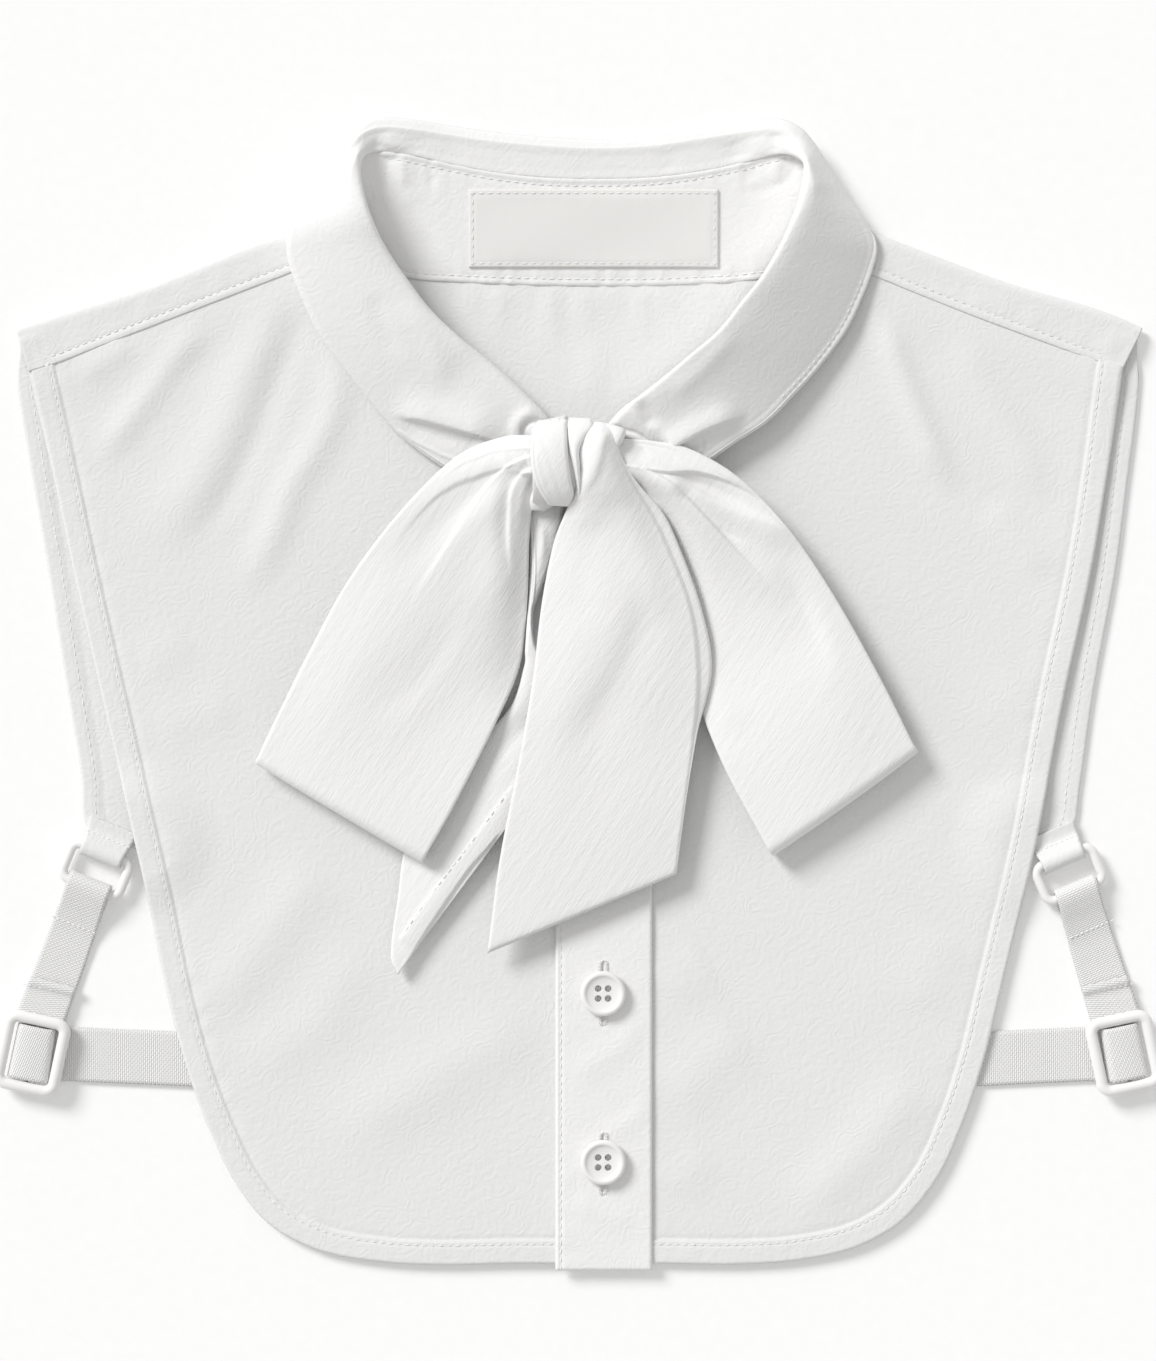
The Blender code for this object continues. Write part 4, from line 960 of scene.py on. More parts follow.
@dataclass
class BackPanel:
    """The back, with a flap over each shoulder that ends at the forward seam."""

    relief: Relief = field(init=False)
    shoulder: float = 7 / 24  # share of its breadth at each shoulder
    breadth: float = 337.0
    depth: float = 180.0
    stitch: float = 2.3  # from the shoulder seam to its stitches

    def __post_init__(self) -> None:
        """Gather what its surface adds."""
        self.relief = Relief([
            Hem(BACK_EDGE["left"], 1, BACK_HEM, lift=0.36, steps=60),
            Hem(BACK_EDGE["right"], -1, BACK_HEM, lift=0.36, steps=60),
            Puckers(BACK_EDGE["left"], 0.14, 6, 3, BACK_HEM, seed=21),
            Puckers(BACK_EDGE["right"], 0.14, 6, 3, -BACK_HEM, seed=22),
            Puckers(WHOLE_NECK, 0.42, 5.5, 12, seed=23),
            Puckers(LOW_EDGE, 0.1, 6, 4, 5, seed=24),
            *GATHERS,
        ])

    def height(self, places: Array) -> Array:
        """Return the height of its upper face where it lies on the surface."""
        return BACK_TOP + np.maximum(self.relief.height(places), -0.15)

    def shoulder_line(self, u: Array) -> tuple[Array, Array, Array]:
        """Find the shoulders.

        Args:
            u: Shares across the back.

        Returns:
            At each share, the start of the fold, the seam and whether there is a shoulder.
        """
        start = Track(WHOLE_NECK).at(np.clip((u - self.shoulder) / (1 - 2 * self.shoulder), 0, 1))
        end = start.copy()
        has = np.zeros(len(u), bool)
        for side, share in (("left", u / self.shoulder), ("right", (1 - u) / self.shoulder)):
            here = share <= 1 + 1e-9
            fold, seam = Track(SHOULDER_FOLD[side]).at(share[here]), Track(SHOULDER_SEAM[side]).at(share[here])
            inwards = (seam - fold) / np.linalg.norm(seam - fold, axis=1, keepdims=True)
            start[here], end[here] = fold + inwards * SHOULDER_BEND, seam
            has |= here
        return start, end, has

    def build(self) -> None:
        """Add the panel: flap, bend and body."""
        u = spread((0, self.breadth), 0.5, 2.2, 14) / self.breadth
        u = np.sort(np.unique(np.concatenate([u, [self.shoulder, 1 - self.shoulder]])))
        start, seam, has = self.shoulder_line(u)
        body = self.body(u, start)
        length = np.linalg.norm(seam - start, axis=1, keepdims=True)
        inwards = np.where(has[:, None], (seam - start) / np.maximum(length, 1e-6), 0)
        flap_top = SHOULDER_TOP - BACK_CLOTH
        bend = np.stack([
            lifted(
                start - inwards * SHOULDER_TOP / 2 * sin(angle),
                np.full(len(u), BACK_TOP + (flap_top - BACK_TOP) * (1 - cos(angle)) / 2),
            )
            for angle in np.linspace(0, pi, 11)[1:-1]
        ])
        v = np.linspace(0, 1, 26)
        flap = start[None] * (1 - v[:, None, None]) + seam[None] * v[:, None, None]
        from_seam = (1 - v)[:, None] * length[None, :, 0]
        from_end = (np.minimum(u, 1 - u) * self.breadth)[None]
        lip = 0.22 * bell(from_seam, 0.9, 0.8) - 0.16 * bell(from_seam, self.stitch, 0.5)
        lip = lip * ease(from_end, FRONT_HEM, FRONT_HEM + 2)
        lip = lip + 0.3 * (1 - ease(from_end, FRONT_HEM - 0.3, FRONT_HEM + 0.2))
        lip = lip - 0.2 * bell(from_end, FRONT_HEM - 1.3, 0.4)
        run = np.concatenate([[0], np.cumsum(np.linalg.norm(np.diff(seam, axis=0), axis=1))])
        waves = 0.22 * ripple(run / 6.0 + 3, 31)[None] * bell(from_seam, 5, 3.5)
        flap = lifted(flap, flap_top + (lip + waves) * ease(v, 0, 0.2)[:, None])
        points = np.concatenate([flap[::-1], bend[::-1], body])
        above = len(flap) + len(bend)
        middle = (u[:-1] + u[1:]) / 2
        keep = np.ones((len(points) - 1, len(u) - 1), bool)
        keep[:above] = has[:-1] & has[1:]
        keep[:above, (middle > self.shoulder) & (middle < 1 - self.shoulder)] = False
        add_cloth("back_panel", points, BACK_CLOTH, PANEL_COTTON, keep=keep)

    def body(self, u: Array, start: Array) -> Array:
        """Lay out what lies on the surface.

        Args:
            u: Shares across the back.
            start: The start of the fold at each share.

        Returns:
            The grid, from the start of the fold to the low edge.
        """
        v = spread((0, self.depth), 1, 2.4, 20) / self.depth
        low = Track(LOW_EDGE).at(u)
        body = start[None] * (1 - v[:, None, None]) + low[None] * v[:, None, None]
        ends = body[:, :1], body[:, -1:]
        hold = ease(v, 0, 0.1)[:, None, None]
        for name, end, weight in zip(BACK_EDGE, ends, (1 - u, u)):
            edge = Track(BACK_EDGE[name])
            side = edge.at(v * (edge.places[EDGE_CORNER] / edge.places[-1]))
            body = body + (side[:, None] - end) * weight[None, :, None] * hold
        height = self.relief.over(body)
        return lifted(body, BACK_TOP + np.maximum(height, -0.15) * ease(v, 0, 0.03)[:, None])

    def stitches(self) -> list[Array]:
        """Return the rows along the armhole hems and above the shoulder seams."""
        rows = [laid_on(self.height, part.row()) for part in self.relief.parts if isinstance(part, Hem)]
        shares = np.linspace(0.01, 0.99, 60)
        for side in SIDES:
            seam = Track(SHOULDER_SEAM[side.name])
            row = seam.at(shares) + seam.inward(shares, side.sign) * self.stitch
            rows.append(lifted(row, np.full(60, SHOULDER_TOP + 0.02)))
        return rows


@dataclass
class Placket:
    """The folded strip that the buttons are on, stitched along its left edge, with its buttonholes."""

    left: float = -6.8
    right: float = 22.2
    top: float = 68.0
    bottom: float = -171.6
    proud: float = 1.75  # how high it stands over the fronts
    stitch: float = 1.7  # from its left edge to its stitches
    stitch_lift: float = 0.14
    hole_x: float = 7.5
    holes: Pairs = ((-77.9, -98.9), (-129.2, -149.6))
    relief: Relief = field(init=False)

    def __post_init__(self) -> None:
        """Gather what its surface adds."""
        left, right = (tuple((x, y) for y in (self.top, 0, self.bottom)) for x in (self.left, self.right))
        self.relief = Relief([
            Puckers(left, 0.16, 6.5, 3, 3, seed=41),
            Puckers(right, 0.12, 8, 3, -2, seed=42),
            Fold((18.6, -94, 14.1, -103, 3.6, -110.5, -4.8, -114.5), 0.35, 4),
            Fold((21.6, -121, 15, -127.6, 5.4, -130.7), 0.3, 3),
            Fold((-2.4, -149.5, 6.6, -154, 18.6, -157.7), 0.3, 3.5),
        ])

    def height(self, places: Array) -> Array:
        """Return the height of its upper face."""
        below = front_top(np.column_stack([np.full(len(places), CENTRE_X), places[:, 1] + 8]))
        x, y = places[:, 0], places[:, 1]
        edge = np.minimum(np.minimum(x - self.left, self.right - x), np.minimum(y - self.bottom, self.top - y))
        groove = 0.24 * bell(x, self.left + self.stitch, 0.45)
        inside = sum(ease(np.minimum(high - y, y - low), 0.6, 1.6) for high, low in self.holes)
        slit = 0.7 * bell(x, self.hole_x, 0.35) * inside
        return below + self.proud + self.relief.height(places) - rounded(edge, 0.7, 0.9) - groove - slit

    def build(self) -> None:
        """Add the strip."""
        xs = spread((self.left, self.right), 0.3, 0.65, 4)
        ys = spread((self.bottom, self.top), 0.35, 1.3, 5)[::-1]
        add_cloth("placket", over_grid(self.height, *np.meshgrid(xs, ys)), 1.2, DOUBLE_COTTON)

    def stitches(self) -> list[Array]:
        """Return the row along its left edge."""
        ys = np.linspace(self.top, self.bottom + 0.8, 160)
        row = np.column_stack([np.full(160, self.left + self.stitch), ys])
        return [laid_on(self.height, row, self.stitch_lift)]

    def buttonholes(self) -> list[Array]:
        """Return the two lines of close stitches round each slit."""
        rows, bend, turn = [], 1, np.linspace(0, 2 * pi, 41)
        for high, low in self.holes:
            middle, half = (high + low) / 2, (high - low) / 2 - bend
            y = middle + np.sign(np.sin(turn + 1e-6)) * (half - bend) + bend * np.sin(turn)
            row = np.column_stack([self.hole_x + bend * np.cos(turn), y])
            lines = []
            for start, end in zip(row, row[1:]):
                lines.append(np.linspace(start, end, 8 if abs(end[1] - start[1]) > 3 else 2)[:-1])
            rows.append(laid_on(self.height, np.concatenate([*lines, row[-1:]]), 0.15))
        return rows


# Collar


# Places across the stand: x, its lower and upper seams' y, and how high the upper one lies.
STAND: Rows = (
    (-66.5, 136, 161, 3.8),
    (-63, 131, 162.6, 4.2),
    (-57.6, 127, 162.9, 4.2),
    (-49.5, 125, 161.7, 3.8),
    (-38.4, 124.2, 159.3, 3.6),
    (-23.4, 123.5, 156.5, 3.6),
    (-5.4, 123, 154.9, 3.6),
    (6.6, 122.9, 154.8, 3.6),
    (21.6, 123, 155.2, 3.6),
    (36.6, 123.6, 157, 3.6),
    (49.5, 124.4, 159.6, 3.8),
    (59.1, 126, 162, 4.4),
    (64.2, 128.6, 162.4, 5),
    (67.6, 132.4, 160.2, 5),
    (70, 137, 156.4, 4.6),
)
STAND_FOLDS = (
    Fold((67.8, 161.5, 67.5, 157.9, 66.6, 152.5, 65.1, 146.8, 63, 140.8, 60.3, 134.8, 57, 129.2, 48, 115.3),
          0.6, 3, 8.5, 1, (0.01, 0.01)),
    Fold((-57, 161.5, -58.2, 156.4, -57.6, 148.9), -0.7, 2, 2.6, 1, (0.05, 0.5)),
    Fold((-54, 161.5, -52.8, 157.3, -52.2, 151.9), 0.5, 2),
    Fold((-42, 159.2, -42.6, 155.5, -44.4, 151.9), -0.35, 1.6),
    Fold((53.7, 160.9, 52.2, 157.3, 52.2, 153.8), -0.5, 1.8),
    Fold((60, 161.5, 58.8, 157.3, 57.6, 153.2), 0.5, 2),
    Fold((65.4, 160.9, 62.4, 154.3, 57, 151.9, 48.6, 150.8), -0.35, 1.4),
    Fold((-51.9, 148.9, -45.9, 139.9, -44.4, 130.3), -0.3, 4),
)


@dataclass
class CollarStand:
    """The band behind the neck, with the blank label on it."""

    low_z: float = 1.15
    lift: float = 0.6
    stitch: float = 2.1  # from its seams to their stitches
    stitch_lift: float = 0.14
    label_box: tuple[float, float, float, float] = (-32.7, 42, 128.4, 151.6)
    label_stitch: float = 1.2
    relief: Relief = field(default_factory=lambda: Relief(list(STAND_FOLDS)))
    lines: Track = field(init=False)

    def __post_init__(self) -> None:
        """Read the band's seams."""
        self.lines = Track([row[1:] for row in STAND], [row[0] for row in STAND])

    def height(self, places: Array) -> Array:
        """Return the height of its upper face."""
        lower, upper, upper_z = np.moveaxis(self.lines.value(places[:, 0]), -1, 0)
        share = np.clip((places[:, 1] - lower) / (upper - lower), 0, 1)
        plain = self.low_z + (upper_z - self.low_z) * share + self.lift
        from_top, from_low = upper - places[:, 1], places[:, 1] - lower
        x = places[:, 0]
        ends = ease(np.abs(x - 2), 34, 52)
        gathers = 0.32 * ripple(x / 4.0 + 50, 61) * bell(from_top, 0, 8) * (0.25 + ends)
        low_gathers = 0.22 * ripple(x / 5.0 + 50, 62) * bell(from_low, 0, 6)
        groove = 0.22 * bell(from_low, self.stitch, 0.5) + 0.15 * bell(from_top, self.stitch, 0.6)
        lip = 0.25 * bell(from_top, 0.7, 0.6)
        drop = rounded(from_low, 0.4, 0.9)
        sway = 0.25 * np.sin(x / 17.0 + 1) * share * (1 - share) * 4
        folds = self.relief.height(places) * ease(share, 0, 0.35)
        return plain + gathers + low_gathers + sway + lip - groove - drop + folds

    def build(self) -> None:
        """Add the stand and its label."""
        x = np.linspace(STAND[0][0], STAND[-1][0], 190)
        lower, upper, _ = np.moveaxis(self.lines.value(x), -1, 0)
        v = spread((0, 33), 0.4, 1, 5)[:, None] / 33.0
        y = upper[None] * (1 - v) + lower[None] * v
        points = over_grid(self.height, np.broadcast_to(x, y.shape), y)
        add_cloth("collar_stand", points, CLOTH, COLLAR_COTTON)
        left, right, low, high = self.label_box
        x, y = np.meshgrid(spread((left, right), 0.4, 1.2, 4), spread((low, high), 0.4, 1, 4)[::-1])
        add_cloth("label", over_grid(self.label_height, x, y), 0.55, LABEL_CLOTH)

    def label_height(self, places: Array) -> Array:
        """Return the height of the label's upper face."""
        left, right, low, high = self.label_box
        x, y = places.T
        edge = np.minimum(np.minimum(x - left, right - x), np.minimum(y - low, high - y))
        puff = 0.25 * np.sin(x / 9) * np.sin(y / 6.0 + 1) * ease(edge, 0.5, 4)
        groove = 0.18 * bell(edge, self.label_stitch, 0.45)
        return self.height(places) + 0.95 + puff - groove - rounded(edge, 0.35, 0.8)

    def stitches(self) -> list[Array]:
        """Return the rows along the stand's lower and upper seams."""
        rows = []
        for x, seam, sign in ((np.linspace(-60, 66, 80), 0, 1), (np.linspace(-63.6, 66.5, 90), 1, -1)):
            row = np.column_stack([x, self.lines.value(x)[:, seam] + sign * self.stitch])
            rows.append(laid_on(self.height, row, self.stitch_lift))
        return rows

    def label_stitches(self) -> list[Array]:
        """Return the four rows round the label."""
        left, right, low, high = np.array(self.label_box) + np.array((1, -1, 1, -1)) * self.label_stitch
        corners = ((left, low), (right, low), (right, high), (left, high), (left, low))
        sides = (mix(start, end, np.linspace(0, 1, 40)) for start, end in zip(corners, corners[1:]))
        return [laid_on(self.label_height, row) for row in sides]


# Places along the fall: x and y of its roll, its outermost line and where it ends underneath, and then the
# heights of the roll, the crest, the outermost line and the end underneath.
FALL: Rows = (
    (-5, 77.5, -18, 61, -17, 62.2, 6, 7.4, 4.6, 3.8),
    (-9.8, 84.6, -29, 63, -28, 64.2, 6.6, 9, 4.8, 4),
    (-15.9, 91, -37.8, 68, -36.8, 69.2, 7, 9.8, 5, 4.1),
    (-21.6, 96.3, -46.5, 73.8, -45.4, 74.9, 7.8, 10.6, 5.2, 4.1),
    (-28.5, 102.2, -54, 80, -52.9, 81.1, 8.6, 11.4, 6, 4.1),
    (-34.8, 107.2, -61.4, 88.4, -60.3, 89.4, 10.2, 13, 7.7, 4.1),
    (-44.1, 116, -69, 97.9, -67.8, 98.8, 11.8, 14.6, 9.6, 4.1),
    (-51, 125, -76.6, 108, -75.4, 108.8, 13, 15.8, 11.1, 4.1),
    (-55.2, 131, -82.1, 119.2, -80.8, 119.9, 14.1, 16.7, 12.2, 4.1),
    (-58.8, 137, -86.1, 129.8, -84.7, 130.2, 15.6, 17.9, 12.7, 4.1),
    (-61.5, 143, -86.8, 137.8, -85.2, 138, 17.1, 19.3, 13.2, 4),
    (-63.3, 148, -84, 144.4, -80.4, 143.6, 17.1, 19.3, 13, 3.2),
    (-64.7, 153.5, -78, 152.8, -72.6, 147.6, 15.5, 17.7, 12.3, 2),
    (-65.2, 157.8, -72.6, 160.4, -68, 146, 12.6, 14.9, 11.1, 0.8),
    (-64.6, 161.2, -68, 166.4, -65, 138, 9.3, 11.6, 9.7, 0.4),
    (-62.2, 163, -63.4, 169.9, -61.5, 132, 6, 7.8, 8, 0.35),
    (-57.5, 163.4, -57.9, 171.1, -57, 130, 4.8, 6.2, 6.9, 0.35),
    (-49.5, 162.2, -49.4, 170.4, -49, 129, 4.5, 5.4, 6.3, 0.35),
    (-38.4, 159.8, -38.4, 168.7, -38.4, 128.4, 4.2, 4.6, 5.4, 0.35),
    (-23.4, 157, -23.4, 166.6, -23.4, 127.4, 4.2, 4.6, 5.4, 0.35),
    (-5.4, 155.4, -5.4, 165.1, -5.4, 127, 4.2, 4.6, 5.4, 0.35),
    (6.6, 155.3, 6.6, 164.7, 6.6, 127, 4.2, 4.6, 5.4, 0.35),
    (21.6, 155.7, 21, 165.3, 21, 127.4, 4.2, 4.6, 5.4, 0.35),
    (36.6, 157.5, 36.6, 167.5, 36.6, 128, 4.2, 4.6, 5.4, 0.35),
    (49.5, 160.1, 49.5, 169.5, 49, 129, 4.4, 4.9, 5.8, 0.35),
    (59.1, 162.5, 59.1, 170.8, 58, 130, 6.4, 7.8, 7.6, 0.35),
    (64.2, 162.3, 65.6, 169, 63, 132, 9.4, 11.2, 8.4, 0.35),
    (67.4, 160.2, 70.4, 165, 68, 138, 12.6, 14.6, 7.9, 0.4),
    (67.5, 156.6, 75.8, 157.6, 72.4, 146, 14.9, 16.9, 6.8, 0.8),
    (66.8, 152.8, 81.2, 149.6, 77.4, 146.4, 16.6, 18.6, 6.2, 2),
    (65.6, 147.6, 86.2, 142.6, 83.2, 141.6, 17.8, 19.8, 5.8, 3.6),
    (62.6, 140, 89.2, 135.6, 87.6, 135.6, 18.6, 20.4, 5.6, 5),
    (59.4, 133.4, 88, 128.6, 86.4, 128.9, 18.9, 20.5, 5.3, 5.2),
    (54.6, 125.6, 84.4, 119.2, 82.8, 119.6, 19.4, 20.8, 5.8, 5.6),
    (48.6, 118, 79.6, 109.6, 78.1, 110.2, 19.5, 20.8, 6.4, 6.2),
    (42, 109.8, 71.8, 99.2, 70.4, 99.9, 19.3, 20.7, 7.3, 6.8),
    (33.6, 102.6, 64, 90.6, 62.7, 91.4, 18.4, 19.9, 8.4, 7.6),
    (26, 96.2, 56, 82.6, 54.8, 83.6, 16.6, 18.4, 9, 8),
    (18.6, 90.4, 46.6, 76.4, 45.5, 77.5, 14, 16, 9.2, 8.2),
    (13.2, 86.4, 38.4, 70.6, 37.4, 71.8, 11, 13.2, 8.6, 7.6),
    (8.8, 81.6, 30, 65, 29, 66.2, 8.8, 10.2, 6.6, 5.6),
    (4, 76.5, 20, 60.5, 19, 61.6, 6.4, 7.4, 5, 4),
)
FALL_FOLDS = (
    Fold((-53.4, 118.9, -45.9, 110, -41.4, 98, -39.9, 89), 0.5, 3.5),
    Fold((-61.8, 121.9, -57.9, 110, -53.4, 101), -0.4, 3),
    Fold((-57.6, 84.8, -52.5, 83.8, -47.4, 83.1, -41.4, 81.5, -32.4, 79, -22.8, 76), 2.1, 7, 0.6, 1,
          (0.35, 0.3)),
    Fold((-54.9, 82.3, -47.4, 80.5, -38.4, 77.8, -29.4, 74.8), -0.7, 2.2, 3, 1, (0.3, 0.1)),
    Fold((-54.6, 80.5, -49.8, 77, -43.8, 74, -39.3, 71.8, -33, 70.3), 0.5, 0.5, 0.45, 1, (0.1, 0.05)),
    Fold((-24.6, 87.8, -21.3, 83.5, -20.1, 79.3, -20.4, 75.1), -0.2, 2.6, 2.6, 1, (0.5, 0.1)),
    Fold((-11.1, 86, -15, 85, -17.7, 83, -18.9, 80, -18.9, 75.8), 0.7, 1.8, 1.8, 1, (0.3, 0.05)),
    Fold((-9.3, 81.8, -12, 82.6, -14.4, 82.3, -15.9, 80.8, -16.2, 78.8, -15, 76.3), -0.8, 0.8, 0.8, 1,
          (0.1, 0.1)),
    Fold((-10.5, 80.2, -12.6, 80, -13.5, 77.8, -13.2, 75.1), 0.7, 0.9, 0.9, 1, (0.3, 0.1)),
    Fold((25.8, 73.3, 33.6, 77.8, 38.4, 80.2, 44.4, 82.6, 51.6, 85.3), 2.4, 4.5, 0.7, 1.2, (0.15, 0.35)),
    Fold((16.8, 90.1, 20.7, 84.8, 22.5, 80), -1.1, 2.6, 2.2, 1, (0.5, 0.3)),
    Fold((15, 87.5, 12, 84.1, 10.2, 80.5), 0.6, 1.6),
    Fold((7.2, 81.8, 13.2, 80.2, 18, 78.8, 22.2, 75.5), -0.7, 0.5, 0.6, 1, (0.05, 0.2)),
    Fold((12, 78.8, 17.4, 77, 21.6, 74.5), 0.8, 1.6, 1.2, 1, (0.1, 0.1)),
    Fold((26.4, 89, 36.6, 97.3, 48.6, 110), 0.5, 2.5),
    Fold((36.6, 79.3, 37.5, 75.8, 38.4, 72.5), -0.35, 0.6, 0.5),
    Fold((-59.4, 163, -60.6, 165.8, -61.2, 168.2), -0.8, 2, 1.4, 1, (0.05, 0.6)),
    Fold((-54, 163, -55.8, 166, -57, 169.9), 0.4, 1.6, 2.4, 1, (0.05, 0.3)),
    Fold((-47.4, 162.2, -48.6, 165.2, -49.2, 168.2), -0.35, 2.2),
    Fold((59.4, 162.8, 59.1, 166, 60, 169.7), -0.7, 1.7, 1.7, 1, (0.05, 0.3)),
    Fold((54.6, 161.5, 53.7, 164.8, 53.1, 168.2), 0.35, 1.5),
    Fold((48.6, 160.7, 47.1, 163.9, 45.9, 166.9), -0.5, 2.4),
    Fold((65.7, 162.8, 63.3, 165.8, 60.9, 168.4), -0.4, 1),
    Fold((28.2, 156.8, 27.6, 160.9, 27, 164.5), -0.3, 2.4),
    Puckers((-53.4, 162.8, -38.4, 160, -23.4, 157.7, -5.4, 155.8, 6.6, 155.8, 21.6, 156.2, 36.6, 157.7,
             54.6, 161.8), 0.22, 6, 8, 0, seed=71, slant=0.3),
)


@dataclass
class CollarFall:
    """The turned-down outer collar, one band from the left of the knot round the neck to its right."""

    relief: Relief = field(default_factory=lambda: Relief(list(FALL_FOLDS)))
    crest: float = 3.6  # from the roll out to its highest line
    inner_z: float = 5.2
    seam: float = 2.4  # from the free edge to its stitches
    lens: tuple[float, float, float] = (0, 4.8, 1134)  # its outline is drawn in towards here as it rises

    def sections(self, share: Array) -> Array:
        """Return seven points across the fall at each share along it."""
        row = Track(FALL, range(len(FALL))).at(share)
        roll, outer, under = row[:, 0:2], row[:, 2:4], row[:, 4:6]
        roll_z, crest_z, outer_z, under_z = np.moveaxis(row[:, 6:10], -1, 0)
        out = outer - roll
        length = np.linalg.norm(out, axis=1, keepdims=True)
        out = out / length
        to_crest = np.minimum(self.crest, length * 0.3)
        down = under - outer
        down = down / np.linalg.norm(down, axis=1, keepdims=True)
        return np.stack([
            lifted(roll + out * 1.6, np.minimum(roll_z - 2.4, self.inner_z)),
            lifted(roll, roll_z),
            lifted(roll + out * to_crest, crest_z),
            lifted(roll + out * (to_crest + (length - to_crest) * 0.55), outer_z + (crest_z - outer_z) * 0.5),
            lifted(outer, outer_z),
            lifted(outer + down * 0.5, outer_z - 0.62 * np.minimum(outer_z - under_z, 4)),
            lifted(under, under_z),
        ], axis=1)

    def points(self) -> Array:
        """Return its grid."""
        share = np.concatenate([np.linspace(0, 0.1, 91)[:-1], np.linspace(0.1, 0.9, 211), np.linspace(0.9, 1, 91)[1:]])
        counts = (5, 10, 26, 26, 5, 8)
        across = np.concatenate([np.linspace(i, i + 1, count + 1)[1:] for i, count in enumerate(counts)])
        across = np.concatenate([[0], across])
        points = np.stack([Track(rows, range(7)).value(across) for rows in self.sections(share)])
        added = self.relief.over(points)
        on_top = ease(across, 1.2, 2) * (1 - ease(across, 3.9, 4.2))
        column = int(np.searchsorted(across, 4))
        edge = np.linalg.norm(points[:, column : column + 1, :2] - points[..., :2], axis=2)
        front = ease(np.abs(share - 0.49), 0.16, 0.22)[:, None]
        lip = 0.12 * bell(edge, 1, 0.8)
        groove = 0.1 * bell(edge, self.seam, 0.5) * ease(share, 0.62, 0.7)[:, None]
        points[..., 2] += (added + (lip - groove) * front) * on_top[None]
        x, y, far = self.lens
        points[..., :2] -= (points[..., :2] - (x, y)) * (points[..., 2:] / far)
        return points

    def build(self) -> None:
        """Add the band."""
        add_cloth("collar_fall", self.points(), CLOTH, COLLAR_COTTON)

    def stitches(self) -> list[Array]:
        """Return the row inside the free edge at the right, on the surface."""
        row = []
        for line in self.points():
            outer = int(np.argmax(np.linalg.norm(line[:, :2] - line[1, :2], axis=1)))
            edge = np.linalg.norm(line[outer, :2] - line[: outer + 1, :2], axis=1)
            row.append([np.interp(self.seam, edge[::-1], line[: outer + 1, i][::-1]) for i in range(3)])
        here = [place for place in row if place[0] > 60.0 and 84.0 < place[1] < 124]
        return [np.array(here) + (0, 0, 0.14)]


# Bow


# A ribbon is given by places along it: x and y of its first edge, x and y of its second edge, and five heights
# from the first edge to the second.


def on_ribbon(sections: Rows, across: Array, along: Array) -> Array:
    """Return points of a ribbon's upper face.

    Args:
        sections: Places along the ribbon.
        across: Shares across it.
        along: Shares along it, in an array of the same shape.

    Returns:
        A point for each pair of shares.
    """
    row = Track(sections, range(len(sections))).at(along)
    weights = Track(np.eye(5), np.linspace(0, 1, 5)).value(across)
    place = row[..., 0:2] * (1 - across[..., None]) + row[..., 2:4] * across[..., None]
    return lifted(place, (row[..., 4:] * weights).sum(-1))


def ribbon_grid(
    sections: Rows, relief: Relief, columns: int, rows: int, drop: float = 0.45, fade: float = 0.0
) -> Array:
    """Return the grid of a ribbon with its relief and rolled edges.

    Args:
        sections: Places along the ribbon.
        relief: What its surface adds.
        columns: Faces across it.
        rows: Faces along it.
        drop: How far its edges turn down, in millimetres.
        fade: Share of its length at the far end over which the relief dies out.

    Returns:
        Rows by columns by 3, in millimetres.
    """
    ends = np.linspace(0, 1, columns + 1)
    u, v = np.meshgrid(ends - 0.07 * np.sin(2 * pi * ends), np.linspace(0, 1, rows + 1))
    points = on_ribbon(sections, u, v)
    width = np.linalg.norm(points[:, -1:, :2] - points[:, :1, :2], axis=2)
    strength = ease(1 - v, 0, fade) if fade else 1.0
    points[..., 2] += relief.over(points) * strength - rounded(np.minimum(u, 1 - u) * width, drop, 1)
    return points


@dataclass
class Loop:
    """A loop of the bow: out from the knot on top, round its far end, and back to the knot underneath."""

    name: str
    sections: Rows
    relief: Relief
    cut: Cut
    columns: int = 120
    rows: int = 124
    under_z: float = 5.0
    root_z: float = 7.4

    def build(self) -> None:
        """Add the loop."""
        top = ribbon_grid(self.sections, self.relief, self.columns, self.rows, fade=0.12)
        before, last = np.array(self.sections[-2:])
        out = mix(last[:2], last[2:4], 0.5) - mix(before[:2], before[2:4], 0.5)
        line = last[2:4] - last[:2]
        out = out - line * (out @ line) / (line @ line)
        out = out / np.linalg.norm(out)
        end = top[-1]
        radius = (end[:, 2] - self.under_z) / 2
        bend = []
        for turn in np.linspace(0, 1, 15)[1:]:
            place = end[:, :2] + out * (radius * sin(pi * turn))[:, None]
            bend.append(lifted(place, self.under_z + radius * (1 + cos(pi * turn))))
        ends = np.linspace(0, 1, self.columns + 1)
        under = []
        for back in np.linspace(0, 1, 22)[1:]:
            inset = 0.06 * float(ease(back, 0, 0.25))
            place = on_ribbon(self.sections, inset + (1 - 2 * inset) * ends, np.full(len(ends), 1 - back))
            z = self.under_z + (self.root_z - self.under_z) * float(ease(back, 0.6, 1))
            under.append(lifted(place[:, :2], np.full(len(ends), z)))
        points = np.concatenate([top, np.array(bend), np.array(under)])
        add_cloth(self.name, points, CLOTH, BOW_COTTON)


